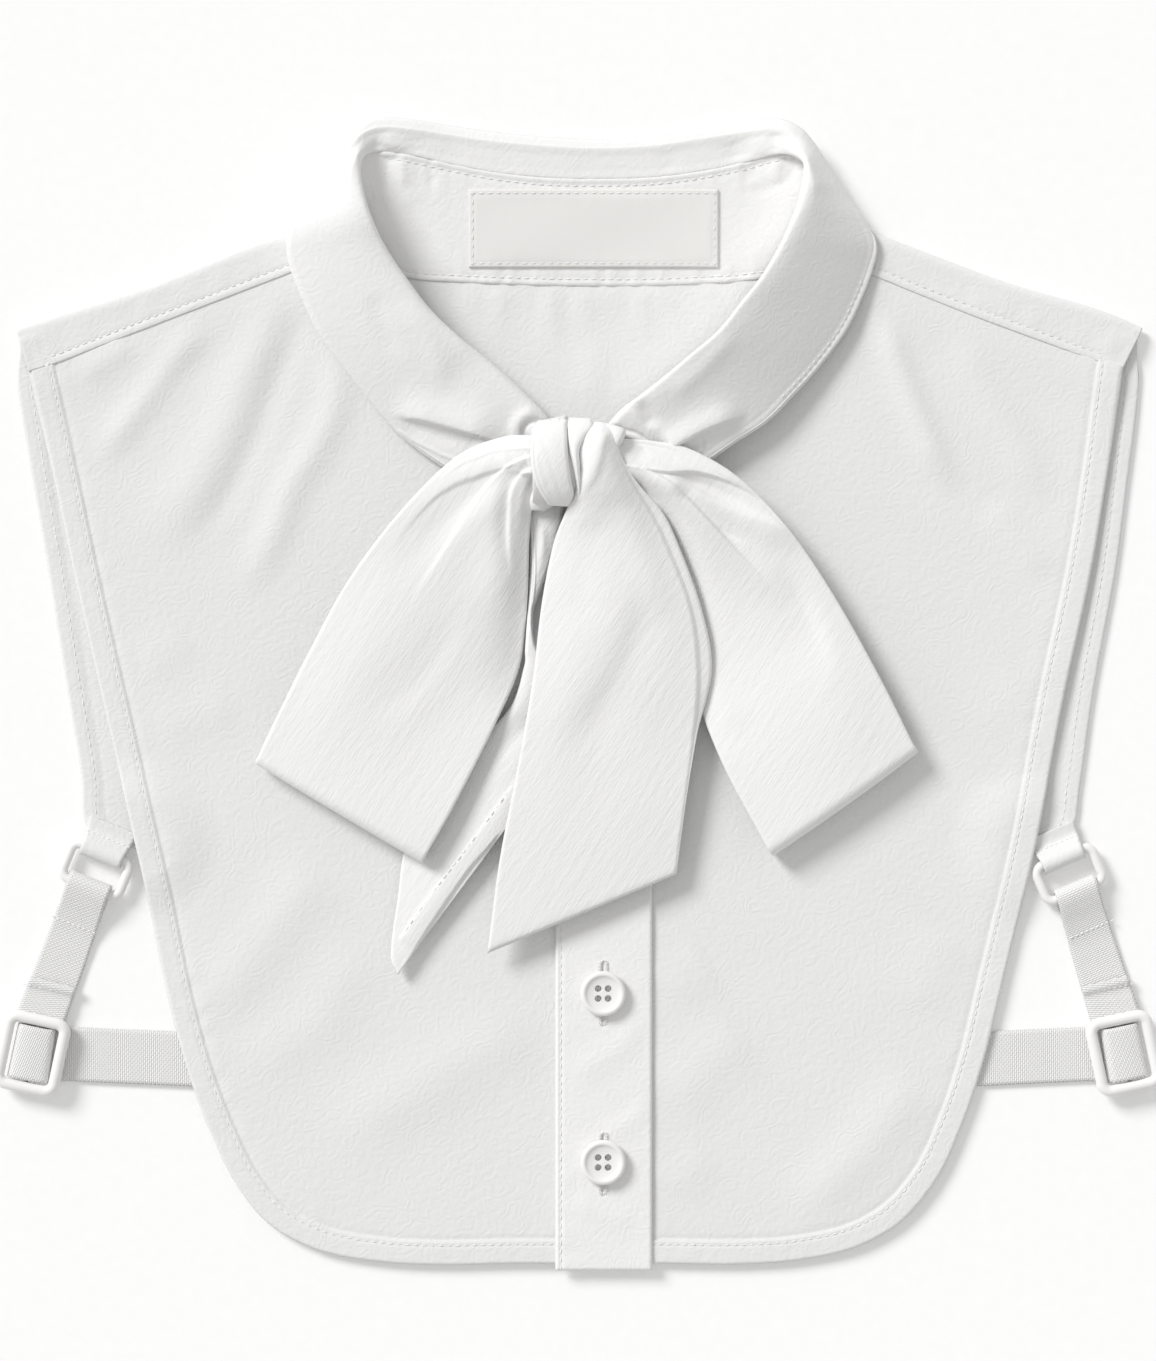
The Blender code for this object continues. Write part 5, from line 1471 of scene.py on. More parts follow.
LOOPS = (
    Loop(
        "loop_left",
        (
            (-12.6, 77.5, -12.6, 58.9, 14.6, 15.8, 15.8, 15, 13.5),
            (-22.8, 77, -13.7, 54.8, 12.8, 15, 15.4, 14.6, 12.6),
            (-36.6, 71, -14.5, 45.4, 12, 13.6, 14.2, 13.6, 11.6),
            (-53.4, 54.4, -15.1, 28.9, 11.8, 12.4, 12, 11.8, 9.8),
            (-68.4, 34.4, -17.2, 9.8, 11.2, 12.2, 11.8, 10.4, 8.6),
            (-80.4, 12.5, -24.3, -7.7, 10.8, 12.2, 11.6, 10.2, 9.8),
            (-90.9, -8.6, -36.9, -32.6, 10.4, 11.4, 11.6, 11.6, 11.8),
            (-95.1, -17.6, -44.7, -46.4, 10.2, 11, 11.6, 12, 12.2),
        ),
        Relief([
            Fold((-13.2, 73.6, -20.4, 73.3, -24.9, 72.8, -29.4, 71.2, -33.9, 69.5, -37.8, 67, -42, 63.8), 0.2,
                  0.45, 0.5, 1, (0.02, 0.3)),
            Fold((-18.6, 69.1, -23.4, 67.6, -26.4, 66.8, -30.9, 65.2, -35.4, 63.8, -39, 61.9, -42.9, 59.2,
                  -47.4, 54.8, -52.8, 48.1, -57.6, 40.4), 0.8, 0.5, 4.5, 1.9, (0.06, 0.75)),
            Fold((-17.4, 68.8, -23.4, 65.2, -29.4, 60.8, -36.9, 54.8, -44.4, 46.9, -51.9, 36.4, -57.9, 25.9), -1.2,
                  3.5, 4.5, 1.6, (0.1, 0.6)),
            Fold((-13.2, 71.2, -17.4, 69.8, -20.4, 68.2, -23.4, 65.8, -26.4, 62.8, -29.4, 58.9, -32.4, 54.8,
                  -34.8, 50.9, -37.2, 46.9, -41.4, 40.4, -46.2, 32.5, -51, 22.9), 1, 7, 0.5, 1.6, (0.02, 0.65)),
            Fold((-13.8, 68.2, -16.8, 66.8, -18.6, 65, -20.1, 62.5, -21, 58.9, -21.3, 54.4, -21.6, 48.4,
                  -21.3, 42.4, -20.7, 31.9), -0.9, 0.7, 2.2, 1.4, (0.02, 0.5)),
            Fold((-12.9, 66.8, -15, 63.8, -16.2, 60.1, -16.8, 56.5, -17.4, 51.8, -18, 45.4), 0.45, 1.2, 1.4, 1.3,
                  (0.02, 0.6)),
            Fold((-19.8, 54.4, -21, 45.4, -22.5, 33.4, -25.2, 19.9), 0.7, 4, 6, 1.3, (0.4, 0.5)),
            Fold((-10.8, 65.5, -12.6, 55.4, -13.5, 45.4, -14.1, 36.4, -14.4, 25.9, -15.6, 13.9, -19.2, 1.9,
                  -25.2, -10.7), -2.2, 6.5, 6.5, 1.2, (0.02, 0.4)),
            Fold((-33.9, 31.9, -41.4, 13.9, -48, 5, -54.9, -1.1, -64.8, -7.6), -0.55, 3.5, 7, 1.3, (0.4, 0.3)),
        ]),
        Cut(0.062, 0.2, 0.0108, Seat.GATHERED, ("front_left", "placket")),
    ),
    Loop(
        "loop_right",
        (
            (9, 76.6, 9.6, 59.5, 14.6, 15.2, 15, 14, 12.4),
            (21.6, 76, 18.6, 52.9, 12.8, 14.6, 14.6, 12.8, 9.6),
            (33.6, 73.4, 26, 46.5, 12.2, 13.6, 13.8, 12.2, 8.2),
            (48.6, 64.4, 30.6, 32, 11.8, 12.4, 12.4, 10.8, 7.2),
            (63.6, 48.5, 33, 17, 12, 12, 11, 9.4, 6.6),
            (77.1, 28.4, 34.8, 2, 11.6, 12, 10.6, 9.2, 7),
            (90.6, 4.1, 43.2, -20.6, 11.4, 12.4, 12, 11.2, 10.2),
            (99.7, -14.1, 56.2, -45, 11, 11.8, 12, 11.8, 11.2),
        ),
        Relief([
            Fold((10.2, 75.8, 18.6, 75.1, 23.1, 74.2, 27, 73.3, 33.6, 70, 39.6, 66.8, 45, 64, 50.1, 61.3,
                  54.6, 57.4, 60.6, 51.1, 65.4, 44.5, 70.2, 36.8), -0.25, 0.5, 0.5, 1, (0.05, 0.3)),
            Fold((21, 74, 18.6, 71.5, 16.8, 68.5), -0.4, 2, 2.6, 1, (0.3, 0.3)),
            Fold((10.2, 68.5, 16.2, 68.5, 21.6, 67.3, 27.6, 66.6, 34.2, 66.8, 38.4, 66.1, 43.2, 64.6, 48.6, 62.2,
                  53.4, 59.2, 57, 56.5), 1.5, 5, 0.45, 0.8, (0.02, 0.35)),
            Fold((28.2, 65, 33.6, 64, 40.2, 61.9, 47.1, 58.3, 53.1, 53.5), -1, 1.4, 3.2, 1.3, (0.25, 0.5)),
            Fold((18.6, 67.6, 22.8, 66.5, 27, 64.6, 31.2, 62.5, 35.4, 60.4, 39.6, 58, 44.4, 55.9, 50.4, 53.5,
                  56.4, 51.4, 60.9, 49.4, 64.2, 46.6, 68.4, 40.9), 2, 1.4, 6, 1, (0.2, 0.3)),
            Fold((28.2, 61.9, 34.2, 57.4, 40.2, 52.9, 47.1, 48.1, 55.2, 44.5), -0.9, 3.4, 1.6, 1.4, (0.15, 0.5)),
            Fold((12, 68.2, 18.6, 67.3, 23.1, 65.5, 26.7, 63.4, 30.6, 60.1, 35.1, 55.6, 39, 51.4, 43.2, 46.9,
                  47.4, 42.4, 52.2, 37.4, 58.2, 30.1), 2, 0.5, 6.5, 1.4, (0.02, 0.5)),
            Fold((41.4, 50.2, 45, 48.1, 49.2, 46), -0.35, 0.7, 0.7, 1, (0.2, 0.5)),
            Fold((14.4, 62.8, 18.6, 61.6, 21.6, 59.8, 23.7, 58, 25.2, 55.4, 27, 51.8, 29.7, 46.4, 33, 38.5,
                  36.3, 30.1, 39, 19.9), -1.8, 2.6, 1.2, 1.3, (0.02, 0.5)),
            Fold((57, 40.9, 61.5, 34.9, 66.6, 25.3, 71.1, 12.4, 73.2, 1.9), -1.5, 4, 9, 1, (0.4, 0.5)),
            Fold((36.6, 16.9, 41.4, 1.9, 48.6, -13), 0.4, 4),
        ]),
        Cut(0.062, 0.2, 0.0108, Seat.GATHERED, ("front_right", "placket")),
    ),
)


@dataclass
class Tails:
    """The two ends of the bow: the front one with its second layer showing beside it, and the one behind."""

    front: Rows = (
        (4.6, 81.4, 8.6, 81.2, 14, 15, 15.4, 15, 14),
        (2.8, 79.2, 10.4, 79, 17.2, 18.6, 19, 18.4, 17),
        (1.2, 76.2, 11.4, 76.2, 18.6, 20.4, 21, 20.2, 18.4),
        (-0.2, 72.6, 12, 73, 18.8, 21.2, 21.8, 21, 18.6),
        (-0.7, 67.4, 13.4, 69, 18.4, 21, 21.8, 21, 18.2),
        (-1, 60.6, 16.6, 62.4, 17.4, 19.6, 20.4, 19.6, 17),
        (-4.2, 53.6, 21.4, 54.8, 14.8, 17, 17.6, 17.2, 14.8),
        (-7.5, 44.6, 25.8, 46.1, 13, 15.2, 15.9, 15.8, 13.8),
        (-10.8, 27.5, 33.3, 26.6, 12.6, 14.6, 15.2, 14.6, 13),
        (-13.5, 5, 35.7, 8, 12.2, 14, 14, 13, 12),
        (-17.4, -17.6, 34.5, -11.6, 11.8, 12.4, 12, 11.6, 10.8),
        (-23.4, -49.1, 31.8, -32.6, 10.8, 11.2, 11.2, 10.9, 10.2),
        (-27, -76.4, 29.1, -53, 9.6, 10, 10, 9.8, 9.2),
    )
    back: Rows = (
        (-14.7, 58.9, -4.2, 58.9, 7.4, 8.4, 8.8, 8.6, 8),
        (-14.5, 52.9, -4.8, 52.9, 7.4, 8.2, 8.6, 8.4, 7.8),
        (-14.2, 45.1, -6.6, 45.1, 7.2, 7.8, 8.2, 8, 7.4),
        (-14.4, 36.4, -9.6, 35.9, 7, 7.6, 7.9, 7.6, 7.2),
        (-14.7, 29.5, -12, 29.5, 7, 7.5, 7.7, 7.6, 7.3),
        (-15, 25.3, -13.3, 25.3, 7, 7.4, 7.6, 7.5, 7.3),
        (-15.4, 19.9, -13.3, 19.9, 8, 8.4, 8.6, 8.6, 8.2),
        (-15.8, 13.9, -12.3, 14.5, 7.6, 8, 8.2, 8.3, 8.2),
        (-16.2, 8.5, -9.9, 9.8, 7, 7.6, 7.9, 8, 8),
        (-21, -4, -8.4, 1.9, 6.2, 7, 7.3, 7.4, 7.4),
        (-36.9, -20.6, -7, -4, 5, 5.8, 6.2, 6.4, 6.6),
        (-50.4, -41, -8, -8.5, 5, 5.6, 6.2, 7, 7.4),
        (-54, -61, -10.2, -15.4, 6, 6.4, 6.8, 7.2, 7.6),
        (-55.9, -77, -11.1, -21.4, 6.4, 7, 7.2, 7.4, 7.6),
        (-53.9, -83, -11.1, -25.3, 6.4, 7, 7.2, 7.4, 7.6),
    )
    # how far the second layer sticks out at each place along the front tail
    lip: tuple[float, ...] = (0, 0, 0, 0, 0.3, 1.6, 3.4, 3.4, 3.2, 4, 0.8, 0, 0)
    front_relief: Relief = field(default_factory=lambda: Relief([
        Fold((8.4, 79.3, 6.6, 72.5, 4.2, 65.5, 0.6, 60.1, -2.4, 55.4), 0.9, 1.4, 3, 1.6, (0.1, 0.4)),
        Fold((3, 77, 1.8, 72.1, 1.2, 66.8, 0.6, 62.5), -0.6, 1, 0, 1.3, (0.2, 0.3)),
        Fold((7.2, 57.4, 3, 45.4, 1.2, 31.9, 2.4, 16.9), -0.5, 4.5, 0, 1.5),
        Fold((13.2, 58.9, 18.6, 45.4, 22.2, 31.9, 23.1, 19.9), 0.4, 5),
        Fold((21.6, 36.4, 18.6, 21.4, 12, 5, 2.1, -11.5, -5.4, -23.6), -0.9, 6, 4, 1.3, (0.3, 0.4)),
    ]))
    back_relief: Relief = field(default_factory=lambda: Relief([
        Fold((-53.4, -73, -44.4, -60.1, -32.4, -44.5, -21.9, -30.1, -17.4, -23.8), 0.45, 0.35, 4.6, 1,
              (0.02, 0.1)),
        Fold((-50.7, -79.6, -44.4, -69.1, -39.9, -62.5, -35.4, -55.9, -30.9, -49.9, -26.4, -44.9, -22.5, -40), -0.9,
              0.35, 3.6, 1, (0.05, 0.1)),
        Fold((-14.2, 55.4, -13.8, 45.4, -13.5, 36.4, -13.9, 29.5, -14.4, 25.3, -15, 19.9), 0.5, 0.35, 0.35, 1,
              (0.02, 0.1)),
        Fold((-13.3, 55.4, -12.9, 45.4, -12.8, 36.4, -13.3, 29.5, -13.8, 25.3, -14.2, 19.9), 0.4, 0.35, 0.35, 1,
              (0.02, 0.1)),
        Fold((-11.1, 51.4, -10.5, 45.4, -10.8, 40.4), 0.4, 1.2),
    ]))

    def front_points(self) -> Array:
        """Return the front tail's grid."""
        main = ribbon_grid(self.front, self.front_relief, 84, 210)
        v = np.linspace(0, 1, len(main))
        main[..., 2] -= rounded(1 - v, 0.4, 1 / 130)[:, None]
        along = main[:, -1, :2] - main[:, 0, :2]
        out = along / np.linalg.norm(along, axis=1, keepdims=True)
        extra = np.maximum(Track([(width, 0) for width in self.lip], range(len(self.lip))).at(v)[:, 0], 0)
        strip = []
        for share in np.linspace(0, 1, 13)[1:]:
            slope = 0.4 * float(ease(share, 0, 0.2)) + 0.6 * share
            drop = 1.1 * ease(extra, 0, 2) * slope + 0.5 * float(ease(share, 0.8, 1))
            place = main[:, -1, :2] + out * ((extra + 0.15) * share)[:, None]
            strip.append(lifted(place, main[:, -1, 2] - drop))
        return np.concatenate([main, np.stack(strip, axis=1)], axis=1)

    def back_points(self) -> Array:
        """Return the grid of the tail behind."""
        return ribbon_grid(self.back, self.back_relief, 64, 190, 0.6)

    def build(self) -> None:
        """Add both tails."""
        add_cloth("tail_front", self.front_points(), CLOTH, BOW_COTTON)
        add_cloth("tail_back", self.back_points(), CLOTH, BOW_COTTON)

    def stitches(self) -> list[Array]:
        """Return the row along the hem of the tail behind."""
        row = Track(((-52.5, -71.2), (-44.4, -59.8), (-32.4, -44.2), (-21.3, -28.9))).at(np.linspace(0, 1, 60))
        points = self.back_points().reshape(-1, 3)
        nearest = np.argmin(np.linalg.norm(points[None, :, :2] - row[:, None], axis=2), axis=1)
        return [np.column_stack([row, points[nearest, 2] + 0.1])]


@dataclass
class Knot:
    """The wrap of the bow, a fold beside it, a small ear and lobe that stick out, and the cloth inside."""

    wrap_left: Pairs = ((-12, 81.8), (-12.9, 79.6), (-13.8, 77), (-14.1, 73.3), (-14.1, 70.3), (-13.5, 66.1),
            (-12, 61.6), (-8.7, 56.5))
    wrap_right: Pairs = ((-3, 83.5), (-3.3, 80.5), (-3.1, 76.3), (-3, 72.5), (-2.5, 68), (-1.8, 63.1),
            (-1.2, 59.8), (-2.7, 56.2))
    fold_left: Pairs = ((-2.7, 83), (-3, 80.5), (-3, 76.3), (-2.4, 72.1), (-1.5, 68), (-0.6, 63.1),
            (-0.3, 58.9))
    fold_right: Pairs = ((3.9, 82.6), (4.5, 80.2), (2.4, 77), (0.6, 73.3), (0.6, 68), (0.9, 63.1), (1.2, 58.9))
    ear_left: Pairs = ((7.8, 80.8), (8.4, 78.1), (9, 75.1), (9.3, 72.1))
    ear_right: Pairs = ((10.2, 80.8), (14.1, 78.8), (13.5, 76), (11.1, 72.5))
    lobe_left: Pairs = ((-12.3, 65), (-13.8, 61.3), (-14.7, 58), (-14.4, 55.4))
    lobe_right: Pairs = ((-4.8, 61.9), (-5.4, 59.5), (-6.6, 57.1), (-9.6, 55))

    def strip(
        self, left: Pairs, right: Pairs, top: float, middle: tuple[float, float], half: tuple[float, float],
        edge: float, columns: int = 40, rows: int = 56,
    ) -> Array:
        """Return a strip between two lines, curved over like the top of a round bar.

        Args:
            left: Its left edge, from behind the knot to the front.
            right: Its right edge.
            top: Height of the bar's middle.
            middle: Middle and half size of the bar along y.
            half: Half size of the bar upwards, and how much more the strip bulges across.
            edge: How far its edges turn down.
            columns: Faces across it.
            rows: Faces along it.

        Returns:
            Rows by columns by 3, in millimetres.
        """
        v = np.linspace(0, 1, rows + 1)
        u = np.linspace(0, 1, columns + 1)
        first, second = Track(left).at(v)[:, None], Track(right).at(v)[:, None]
        plane = first * (1 - u[None, :, None]) + second * u[None, :, None]
        reach = np.clip((plane[..., 1] - middle[0]) / middle[1], -1, 1)
        z = top + half[0] * np.sqrt(1 - reach**2) + half[1] * 4 * (u * (1 - u))[None]
        away = np.minimum(u, 1 - u)[None] * np.linalg.norm(second - first, axis=2)
        return lifted(plane, z - rounded(away, edge, 0.35 * edge + 0.7))

    def grids(self) -> list[Array]:
        """Return the grids of all of its parts."""
        wrap = self.strip(self.wrap_left, self.wrap_right, 12.6, (68.8, 13.3), (9.2, 0.7), 1.1)
        inner = np.abs(wrap[..., 0] - wrap[:, :1, 0] - 1.3)
        wrap[..., 2] -= 0.32 * bell(inner, 0, 0.3)
        wrap[..., 2] += 0.07 * ripple(wrap[..., 0] / 3.0 + wrap[..., 1] / 9.0 + 30, 93)
        fold = self.strip(self.fold_left, self.fold_right, 12, (69.6, 13.2), (8.7, 0.9), 0.9, 24)
        ear = self.strip(self.ear_left, self.ear_right, 12, (75.4, 6.6), (6, 1), 1.6, 20, 30)
        lobe = self.strip(self.lobe_left, self.lobe_right, 9, (62, 7.4), (4.2, 0.8), 1.4, 24, 30)
        x, turn = np.meshgrid(np.linspace(-13.4, 12.6, 40), np.linspace(0.02 * pi, 1.98 * pi, 60))
        size = 1 - 0.35 * ease(x, -6, 12.6)
        y = 68.8 + 11.2 * size * np.cos(turn)
        core = np.stack([x, y, 12.6 + 7.2 * size * np.sin(turn)], axis=-1)
        return [wrap, fold, ear, lobe, core]

    def build(self) -> None:
        """Add the knot, all in one."""
        shape = bmesh.new()
        for grid in self.grids():
            mesh = grid_mesh("knot_part", grid)
            shape.from_mesh(mesh)
            bpy.data.meshes.remove(mesh)
        mesh = closed(shape, bpy.data.meshes.new("knot_cloth"))
        made = add_piece("knot_cloth", mesh, BOW_COTTON, ["knot"])
        make_sheet(made, CLOTH)


# Buttons, rings, sliders and elastics


@dataclass(frozen=True)
class Buttons:
    """Two sew-through buttons with four holes."""

    radius: float = 6.7
    height: float = 2.8
    x: float = 7.5
    hole_radius: float = 1.0
    hole_reach: float = 2.1  # from the button's middle to each hole's
    ys: tuple[tuple[str, float], ...] = (("button_upper", -88.6), ("button_lower", -139))

    def build(self, placket: Placket) -> None:
        """Add the buttons on the placket."""
        radius, height = self.radius, self.height
        profile = Track([
            (0, height - 1), (radius * 0.5, height - 0.95), (radius - 1.9, height - 0.55), (radius - 1.1, height),
            (radius - 0.45, height - 0.1), (radius, height - 0.8), (radius - 0.15, 0.7), (radius - 0.9, 0),
            (0, 0),
        ])
        ring = profile.at(np.linspace(0, 1, 60))
        turn = np.linspace(0, 2 * pi, 65)[:-1]
        for name, y in self.ys:
            base = float(placket.height(np.array([[self.x + 3, y]]))[0]) + 0.3
            points = np.stack([
                self.x + ring[:, :1] * np.cos(turn), y + ring[:, :1] * np.sin(turn),
                np.broadcast_to(base + ring[:, 1:], (60, 64)),
            ], axis=-1)
            made = add_piece(f"{name}_disc", grid_mesh(name, points, wrap=True), BUTTON_PLASTIC, [name])
            shape = bmesh.new()
            for hole in range(4):
                turned_out = Matrix.Rotation(hole * pi / 2 + pi / 4, 4, "Z")
                reach = turned_out @ Matrix.Translation((self.hole_reach * MM, 0, 0))
                place = Matrix.Translation(Vector((self.x, y, base)) * MM) @ reach
                add_pin(shape, self.hole_radius, 20, 24, place)
            mesh = bpy.data.meshes.new("holes")
            shape.to_mesh(mesh)
            shape.free()
            cutter = new_object("holes", mesh)
            cut = made.modifiers.new("holes", "BOOLEAN")
            cut.object = cutter
            graph = bpy.context.evaluated_depsgraph_get()
            drilled = bpy.data.meshes.new_from_object(made.evaluated_get(graph))
            made.modifiers.remove(cut)
            made.data = drilled
            bpy.data.objects.remove(cutter)


def bent_bar(size: tuple[float, float], corner: float, bar: float) -> list[tuple[float, float]]:
    """Return the middle line of a round bar bent into an oblong with rounded corners."""
    half_x, half_y = size[0] / 2 - bar, size[1] / 2 - bar
    points = []
    for along, up, start in ((1, 1, 0), (-1, 1, 90), (-1, -1, 180), (1, -1, 270)):
        points += arc((along * (half_x - corner), up * (half_y - corner)), corner, start, start + 90, 10)
    return points


def add_pin(shape: bmesh.types.BMesh, radius: float, length: float, segments: int, place: Matrix) -> None:
    """Add a round pin along the z of a place to a shape, its sizes in millimetres."""
    sizes = {"radius1": radius * MM, "radius2": radius * MM, "depth": length * MM}
    bmesh.ops.create_cone(shape, cap_ends=True, segments=segments, matrix=place, **sizes)


@dataclass
class StrapSet:
    """The tab, ring, elastics and slider at one side."""

    side: Side
    low: float = 0.63  # height of an elastic's middle where it lies on the surface
    wall: float = 1.0
    ring_size: tuple[float, float] = (21.2, 14)
    ring_corner: float = 2.6
    ring_bar: float = 1.45  # radius of the ring's round bar
    ring_z: float = 2.85
    ring_reach: float = 5.35  # from the ring's middle to where a band goes round its bar
    slider_size: tuple[float, float] = (20.4, 24)
    slider_corner: float = 2.8
    slider_bar: float = 1.75
    slider_z: float = 4.3
    slider_reach: float = 10.4  # from the slider's middle to the fold of the upper elastic
    middle_bar: float = 0.8
    lower_breadth: float = 16.2
    half_row: float = 6.6  # half a row of stitches across a band

    def fitting(self, size: tuple[float, float], corner: float, bar: float, place: Matrix) -> bpy.types.Mesh:
        """Bend a round bar into an oblong.

        Args:
            size: The oblong's breadth and height over all.
            corner: Radius of its corners along the bar's middle.
            bar: Radius of the bar.
            place: Where it lies.

        Returns:
            The mesh, in place.
        """
        path = np.array(bent_bar(size, corner, bar))
        along = np.roll(path, -1, axis=0) - np.roll(path, 1, axis=0)
        along /= np.linalg.norm(along, axis=1, keepdims=True)
        across = np.stack([along[:, 1], -along[:, 0]], axis=1)
        turn = np.linspace(0, 2 * pi, 21)[:-1]
        flat = path[:, None] + across[:, None] * (bar * np.cos(turn))[None, :, None]
        rings = lifted(flat, np.broadcast_to(bar * np.sin(turn), flat.shape[:2]))
        index = np.arange(rings[..., 0].size).reshape(rings.shape[:2])
        far = np.roll(index, -1, axis=0)
        quads = np.stack([index, far, np.roll(far, -1, axis=1), np.roll(index, -1, axis=1)], axis=-1)
        mesh = bpy.data.meshes.new("fitting")
        mesh.from_pydata(rings.reshape(-1, 3) * MM, [], quads.reshape(-1, 4).tolist())
        mesh.transform(place)
        shape = opened(mesh)
        bmesh.ops.recalc_face_normals(shape, faces=shape.faces)
        return closed(shape, mesh)

    def placed(self, middle: tuple[float, float], z: float, turn: float) -> Matrix:
        """Return where a flat fitting lies."""
        return Matrix.Translation(Vector((*middle, z)) * MM) @ Matrix.Rotation(radians(turn), 4, "Z")

    def add_ring(self) -> None:
        """Add the ring."""
        side, name = self.side, f"ring_{self.side.name}"
        place = self.placed(side.ring, self.ring_z, side.ring_turn)
        mesh = self.fitting(self.ring_size, self.ring_corner, self.ring_bar, place)
        add_piece(f"{name}_bar", mesh, PLASTIC, [name])

    def add_slider(self) -> None:
        """Add the slider's frame and its middle bar."""
        side, name = self.side, f"slider_{self.side.name}"
        place = self.placed(side.slider, self.slider_z, side.slider_turn)
        mesh = self.fitting(self.slider_size, self.slider_corner, self.slider_bar, place)
        shape = opened(mesh)
        place = self.placed(side.slider, 3, side.slider_turn) @ Matrix.Rotation(pi / 2, 4, "X")
        add_pin(shape, self.middle_bar, 19, 20, place)
        add_piece(f"{name}_bar", closed(shape, mesh), PLASTIC, [name])

    def band(self, middle: Array, z: Array, angle: Array, breadth: Array | float) -> Array:
        """Lay a band along a line.

        Args:
            middle: The line in the plane, n by 2.
            z: Its height at each of these places.
            angle: The angle across the band there, in radians.
            breadth: The band's breadth, one for all or one for each.

        Returns:
            The band's grid.
        """
        way = np.stack([np.cos(angle), np.sin(angle)], axis=1) * np.reshape(breadth, (-1, 1))
        plane = middle[:, None] + way[:, None] * np.linspace(-0.5, 0.5, 15)[None, :, None]
        return lifted(plane, np.broadcast_to(z[:, None], plane.shape[:2]))

    def strip(
        self, section: Sequence[tuple[float, float]], start: Array, end: Array, turns: tuple[float, float],
        widths: tuple[float, float], rows: int,
    ) -> Array:
        """Lay a folded band from one fitting to the next.

        Args:
            section: The band seen from its side: points of how far along they are, and how high.
            start: Where the band is 0 along.
            end: Where it is as far along as end is from start.
            turns: Angle across the band at both ends, in degrees.
            widths: Its breadth at both ends.
            rows: Faces along it.

        Returns:
            The band's grid.
        """
        length = np.linalg.norm(end - start)
        along, z = Track(section).at(np.linspace(0, 1, rows + 1)).T
        share = ease(along / length)
        angle = np.radians(turns[0] + (turns[1] - turns[0]) * share)
        middle = start + (end - start) * (along / length)[:, None]
        return self.band(middle, z, angle, widths[0] + (widths[1] - widths[0]) * share)

    def add_band(self, name: str, points: Array, finish: Finish = ELASTIC) -> None:
        """Add a thin band about its grid."""
        made = add_piece(f"{name}_band", grid_mesh(name, points), finish, [name])
        make_sheet(made, self.wall, 0)

    def add_tab(self) -> None:
        """Add the cloth tab over the back's corner, round the ring and back underneath."""
        side, over = self.side, 2.1
        wrap = self.ring_z - self.low
        section = [(9, over), (5.2, over), (2.7, 3.8), *arc((0, self.ring_z), wrap, 78, 270, 12), (2.2, self.low)]
        up = turned(side.ring_turn)[1]
        bar = np.array(side.ring) + up * self.ring_reach
        points = self.strip(section, bar, bar + up * 9, (side.ring_turn, side.ring_turn), (13, 15.3), 60)
        self.add_band(f"tab_{side.name}", points, PANEL_COTTON)

    def add_upper(self) -> None:
        """Add the upper elastic: sewn back on itself at the ring, and folded back on top under the slider's edge."""
        side, low, bend = self.side, self.low, 0.66
        top = low + 2 * bend
        bar = np.array(side.ring) - turned(side.ring_turn)[1] * self.ring_reach
        seat = np.array(side.slider) + turned(side.slider_turn)[1] * self.slider_reach
        length = float(np.linalg.norm(seat - bar))
        section = [(9, low), (4, low), (1.2, low), *arc((0, self.ring_z), self.ring_z - low, 270, 90, 10)]
        section += [(1.6, 4.9), (4, 4.1), (7.6, 2.7), (11, 1.7), (15, 0.9), (20, low), (length - 6, low)]
        section += [(length - 1, low), *arc((length, low + bend), bend, -90, 90, 6), (length - 1, top)]
        section += [(length - 5, top), (length - 9, top), (length - 10.4, top + 0.8), (length - 11.8, top + 0.6)]
        points = self.strip(section, bar, seat, (side.ring_turn, side.slider_turn), (13, 14.6), 190)
        self.add_band(f"strap_upper_{side.name}", points)

    def add_lower(self) -> None:
        """Add the lower elastic: from under the front to the slider, under it and back over its middle bar."""
        side, low, bend = self.side, self.low, 2.1
        start = np.array(side.slider)
        seat = np.array([side.front_edge_x - side.sign * 6, -108.9])
        reach = float(np.linalg.norm(seat - start))
        section = [(reach, low), (reach - 8, low), (12, low), (6, low), (0, low), (-2.8, low)]
        section += arc((-3.4, low + bend), bend, 270, 90, 8) + arc((3.4, low + bend), bend, 90, -4, 6)
        along, z = Track(section).at(np.linspace(0, 1, 150)).T
        share = ease(along, 2, 11)
        in_slider = start - turned(side.slider_turn)[0] * side.sign * along[:, None]
        straight = start + (seat - start) * (along / reach)[:, None]
        angle = np.radians((side.slider_turn + 90) * (1 - share) + 90 * share)
        points = self.band(mix(in_slider, straight, share), z, angle, self.lower_breadth)
        self.add_band(f"strap_lower_{side.name}", points)

    def stitches(self) -> list[Array]:
        """Return the rows across the tab and the upper elastic."""
        side = self.side
        along, up = turned(side.ring_turn)
        slide_along, slide_up = turned(side.slider_turn)
        ring, slider = np.array(side.ring), np.array(side.slider)
        rows = []
        for middle, way, z in (
            (ring + up * (self.ring_reach + 4.6), along, 3), (ring - up * (self.ring_reach + 12.5), along, 1.9),
            (slider + slide_up * (self.slider_reach + 9.2), slide_along, 2.6),
        ):
            row = middle + np.linspace(-self.half_row, self.half_row, 14)[:, None] * way
            rows.append(lifted(row, np.full(14, z)))
        return rows

    def build(self) -> None:
        """Add all of them."""
        for add in (self.add_tab, self.add_ring, self.add_upper, self.add_slider, self.add_lower):
            add()


# Studio


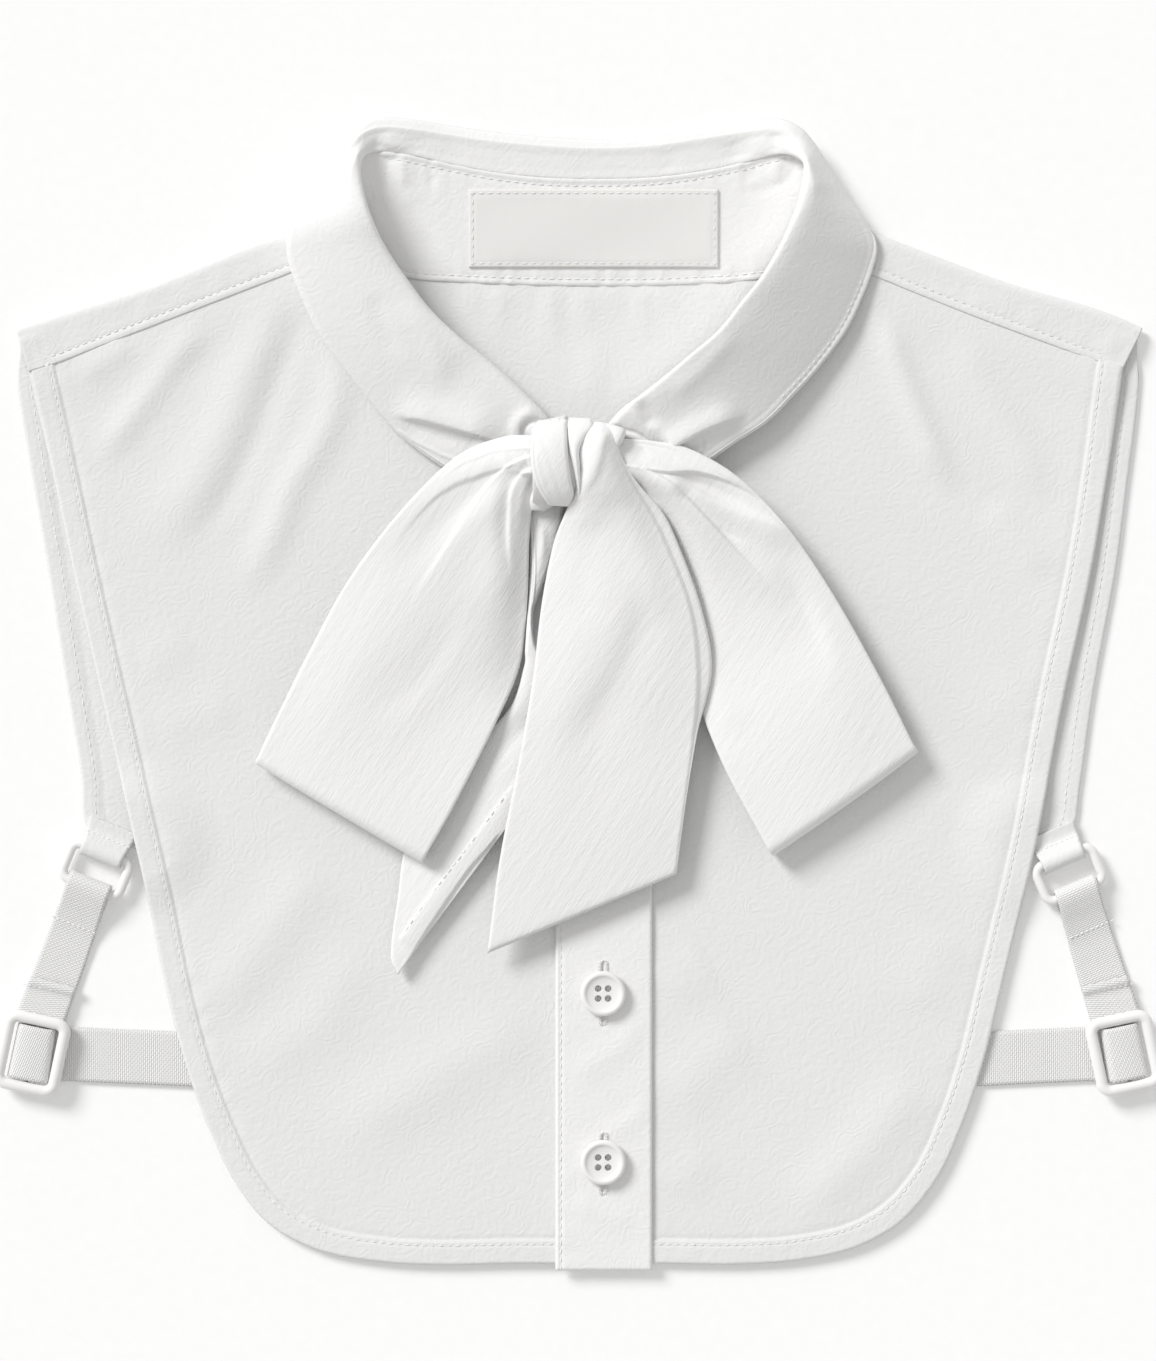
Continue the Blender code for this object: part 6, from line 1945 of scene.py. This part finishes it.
@dataclass(frozen=True)
class Studio:
    """A pale floor, soft daylight from the upper left and a camera straight above."""

    view_height: float = 0.4083
    distance: float = 1.134
    middle_y: float = 0.0048
    sensor: float = 36.0
    azimuth: float = 137.0
    elevation: float = 34.0
    sun: float = 2.4
    sun_width: float = 21.0
    sky: tuple[float, float, float, float] = (0.586, 0.584, 0.582, 1)
    board: tuple[float, float, float] = (0.85, 0.848, 0.8455)
    board_glow: tuple[float, float, float, float] = (0.99, 0.988, 0.985, 1)
    glow: float = 0.14
    floor_half: float = 3.0
    floor_z: float = -0.0003

    def build(self) -> None:
        """Add floor, light and camera."""
        scene = bpy.context.scene
        scene.view_settings.view_transform = "Standard"
        mesh = bpy.data.meshes.new("floor")
        half, z = self.floor_half, self.floor_z
        corners = [(-half, -half, z), (half, -half, z), (half, half, z), (-half, half, z)]
        mesh.from_pydata(corners, [], [(0, 1, 2, 3)])
        floor = new_object("floor", mesh)
        board = Finish("floor_board", self.board, 0.95, 0).material()
        glow = {"Emission Color": self.board_glow, "Emission Strength": self.glow}
        Shade(board.node_tree).feed(board.node_tree.nodes["Principled BSDF"], glow)
        mesh.materials.append(board)
        world = bpy.data.worlds.new("studio")
        scene.world = world
        world.use_nodes = True
        Shade(world.node_tree).feed(world.node_tree.nodes["Background"], {"Color": self.sky, "Strength": 1.0})
        light = bpy.data.lights.new("key", "SUN")
        light.energy = self.sun
        light.angle = radians(self.sun_width)
        key = new_object("key", light)
        azimuth, elevation = radians(self.azimuth), radians(self.elevation)
        way = Vector((cos(elevation) * cos(azimuth), cos(elevation) * sin(azimuth), sin(elevation)))
        key.rotation_euler = way.to_track_quat("Z", "Y").to_euler()
        lens = bpy.data.cameras.new("camera")
        lens.sensor_fit = "VERTICAL"
        lens.sensor_height = self.sensor
        lens.lens = self.sensor * self.distance / self.view_height
        camera = new_object("camera", lens)
        camera.location = (0, self.middle_y, self.distance)
        scene.camera = camera


def main() -> None:
    """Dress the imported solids."""
    logging.basicConfig(level=logging.INFO)
    fronts = [Front(side) for side in SIDES]
    back, placket, stand, fall, tails = BackPanel(), Placket(), CollarStand(), CollarFall(), Tails()
    for piece in (back, *fronts, placket, stand, fall, *LOOPS, tails, Knot()):
        piece.build()
    Buttons().build(placket)
    straps = [StrapSet(side) for side in SIDES]
    for strap in straps:
        strap.build()
    add_stitches("stitches_panels", [row for piece in (back, *fronts, placket) for row in piece.stitches()])
    add_stitches("stitches_collar", stand.stitches() + stand.label_stitches() + tails.stitches())
    add_stitches("stitches_fall", fall.stitches(), 2.2, (0.7, 0.15, 0.14))
    add_stitches("stitches_straps", [row for strap in straps for row in strap.stitches()], 1.6, (0.6, 0.22, 0.22))
    add_stitches("buttonholes", placket.buttonholes(), 0.42, (0.2, 0.72, 0.26))
    Studio().build()
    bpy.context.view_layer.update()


if __name__ == "__main__":
    main()
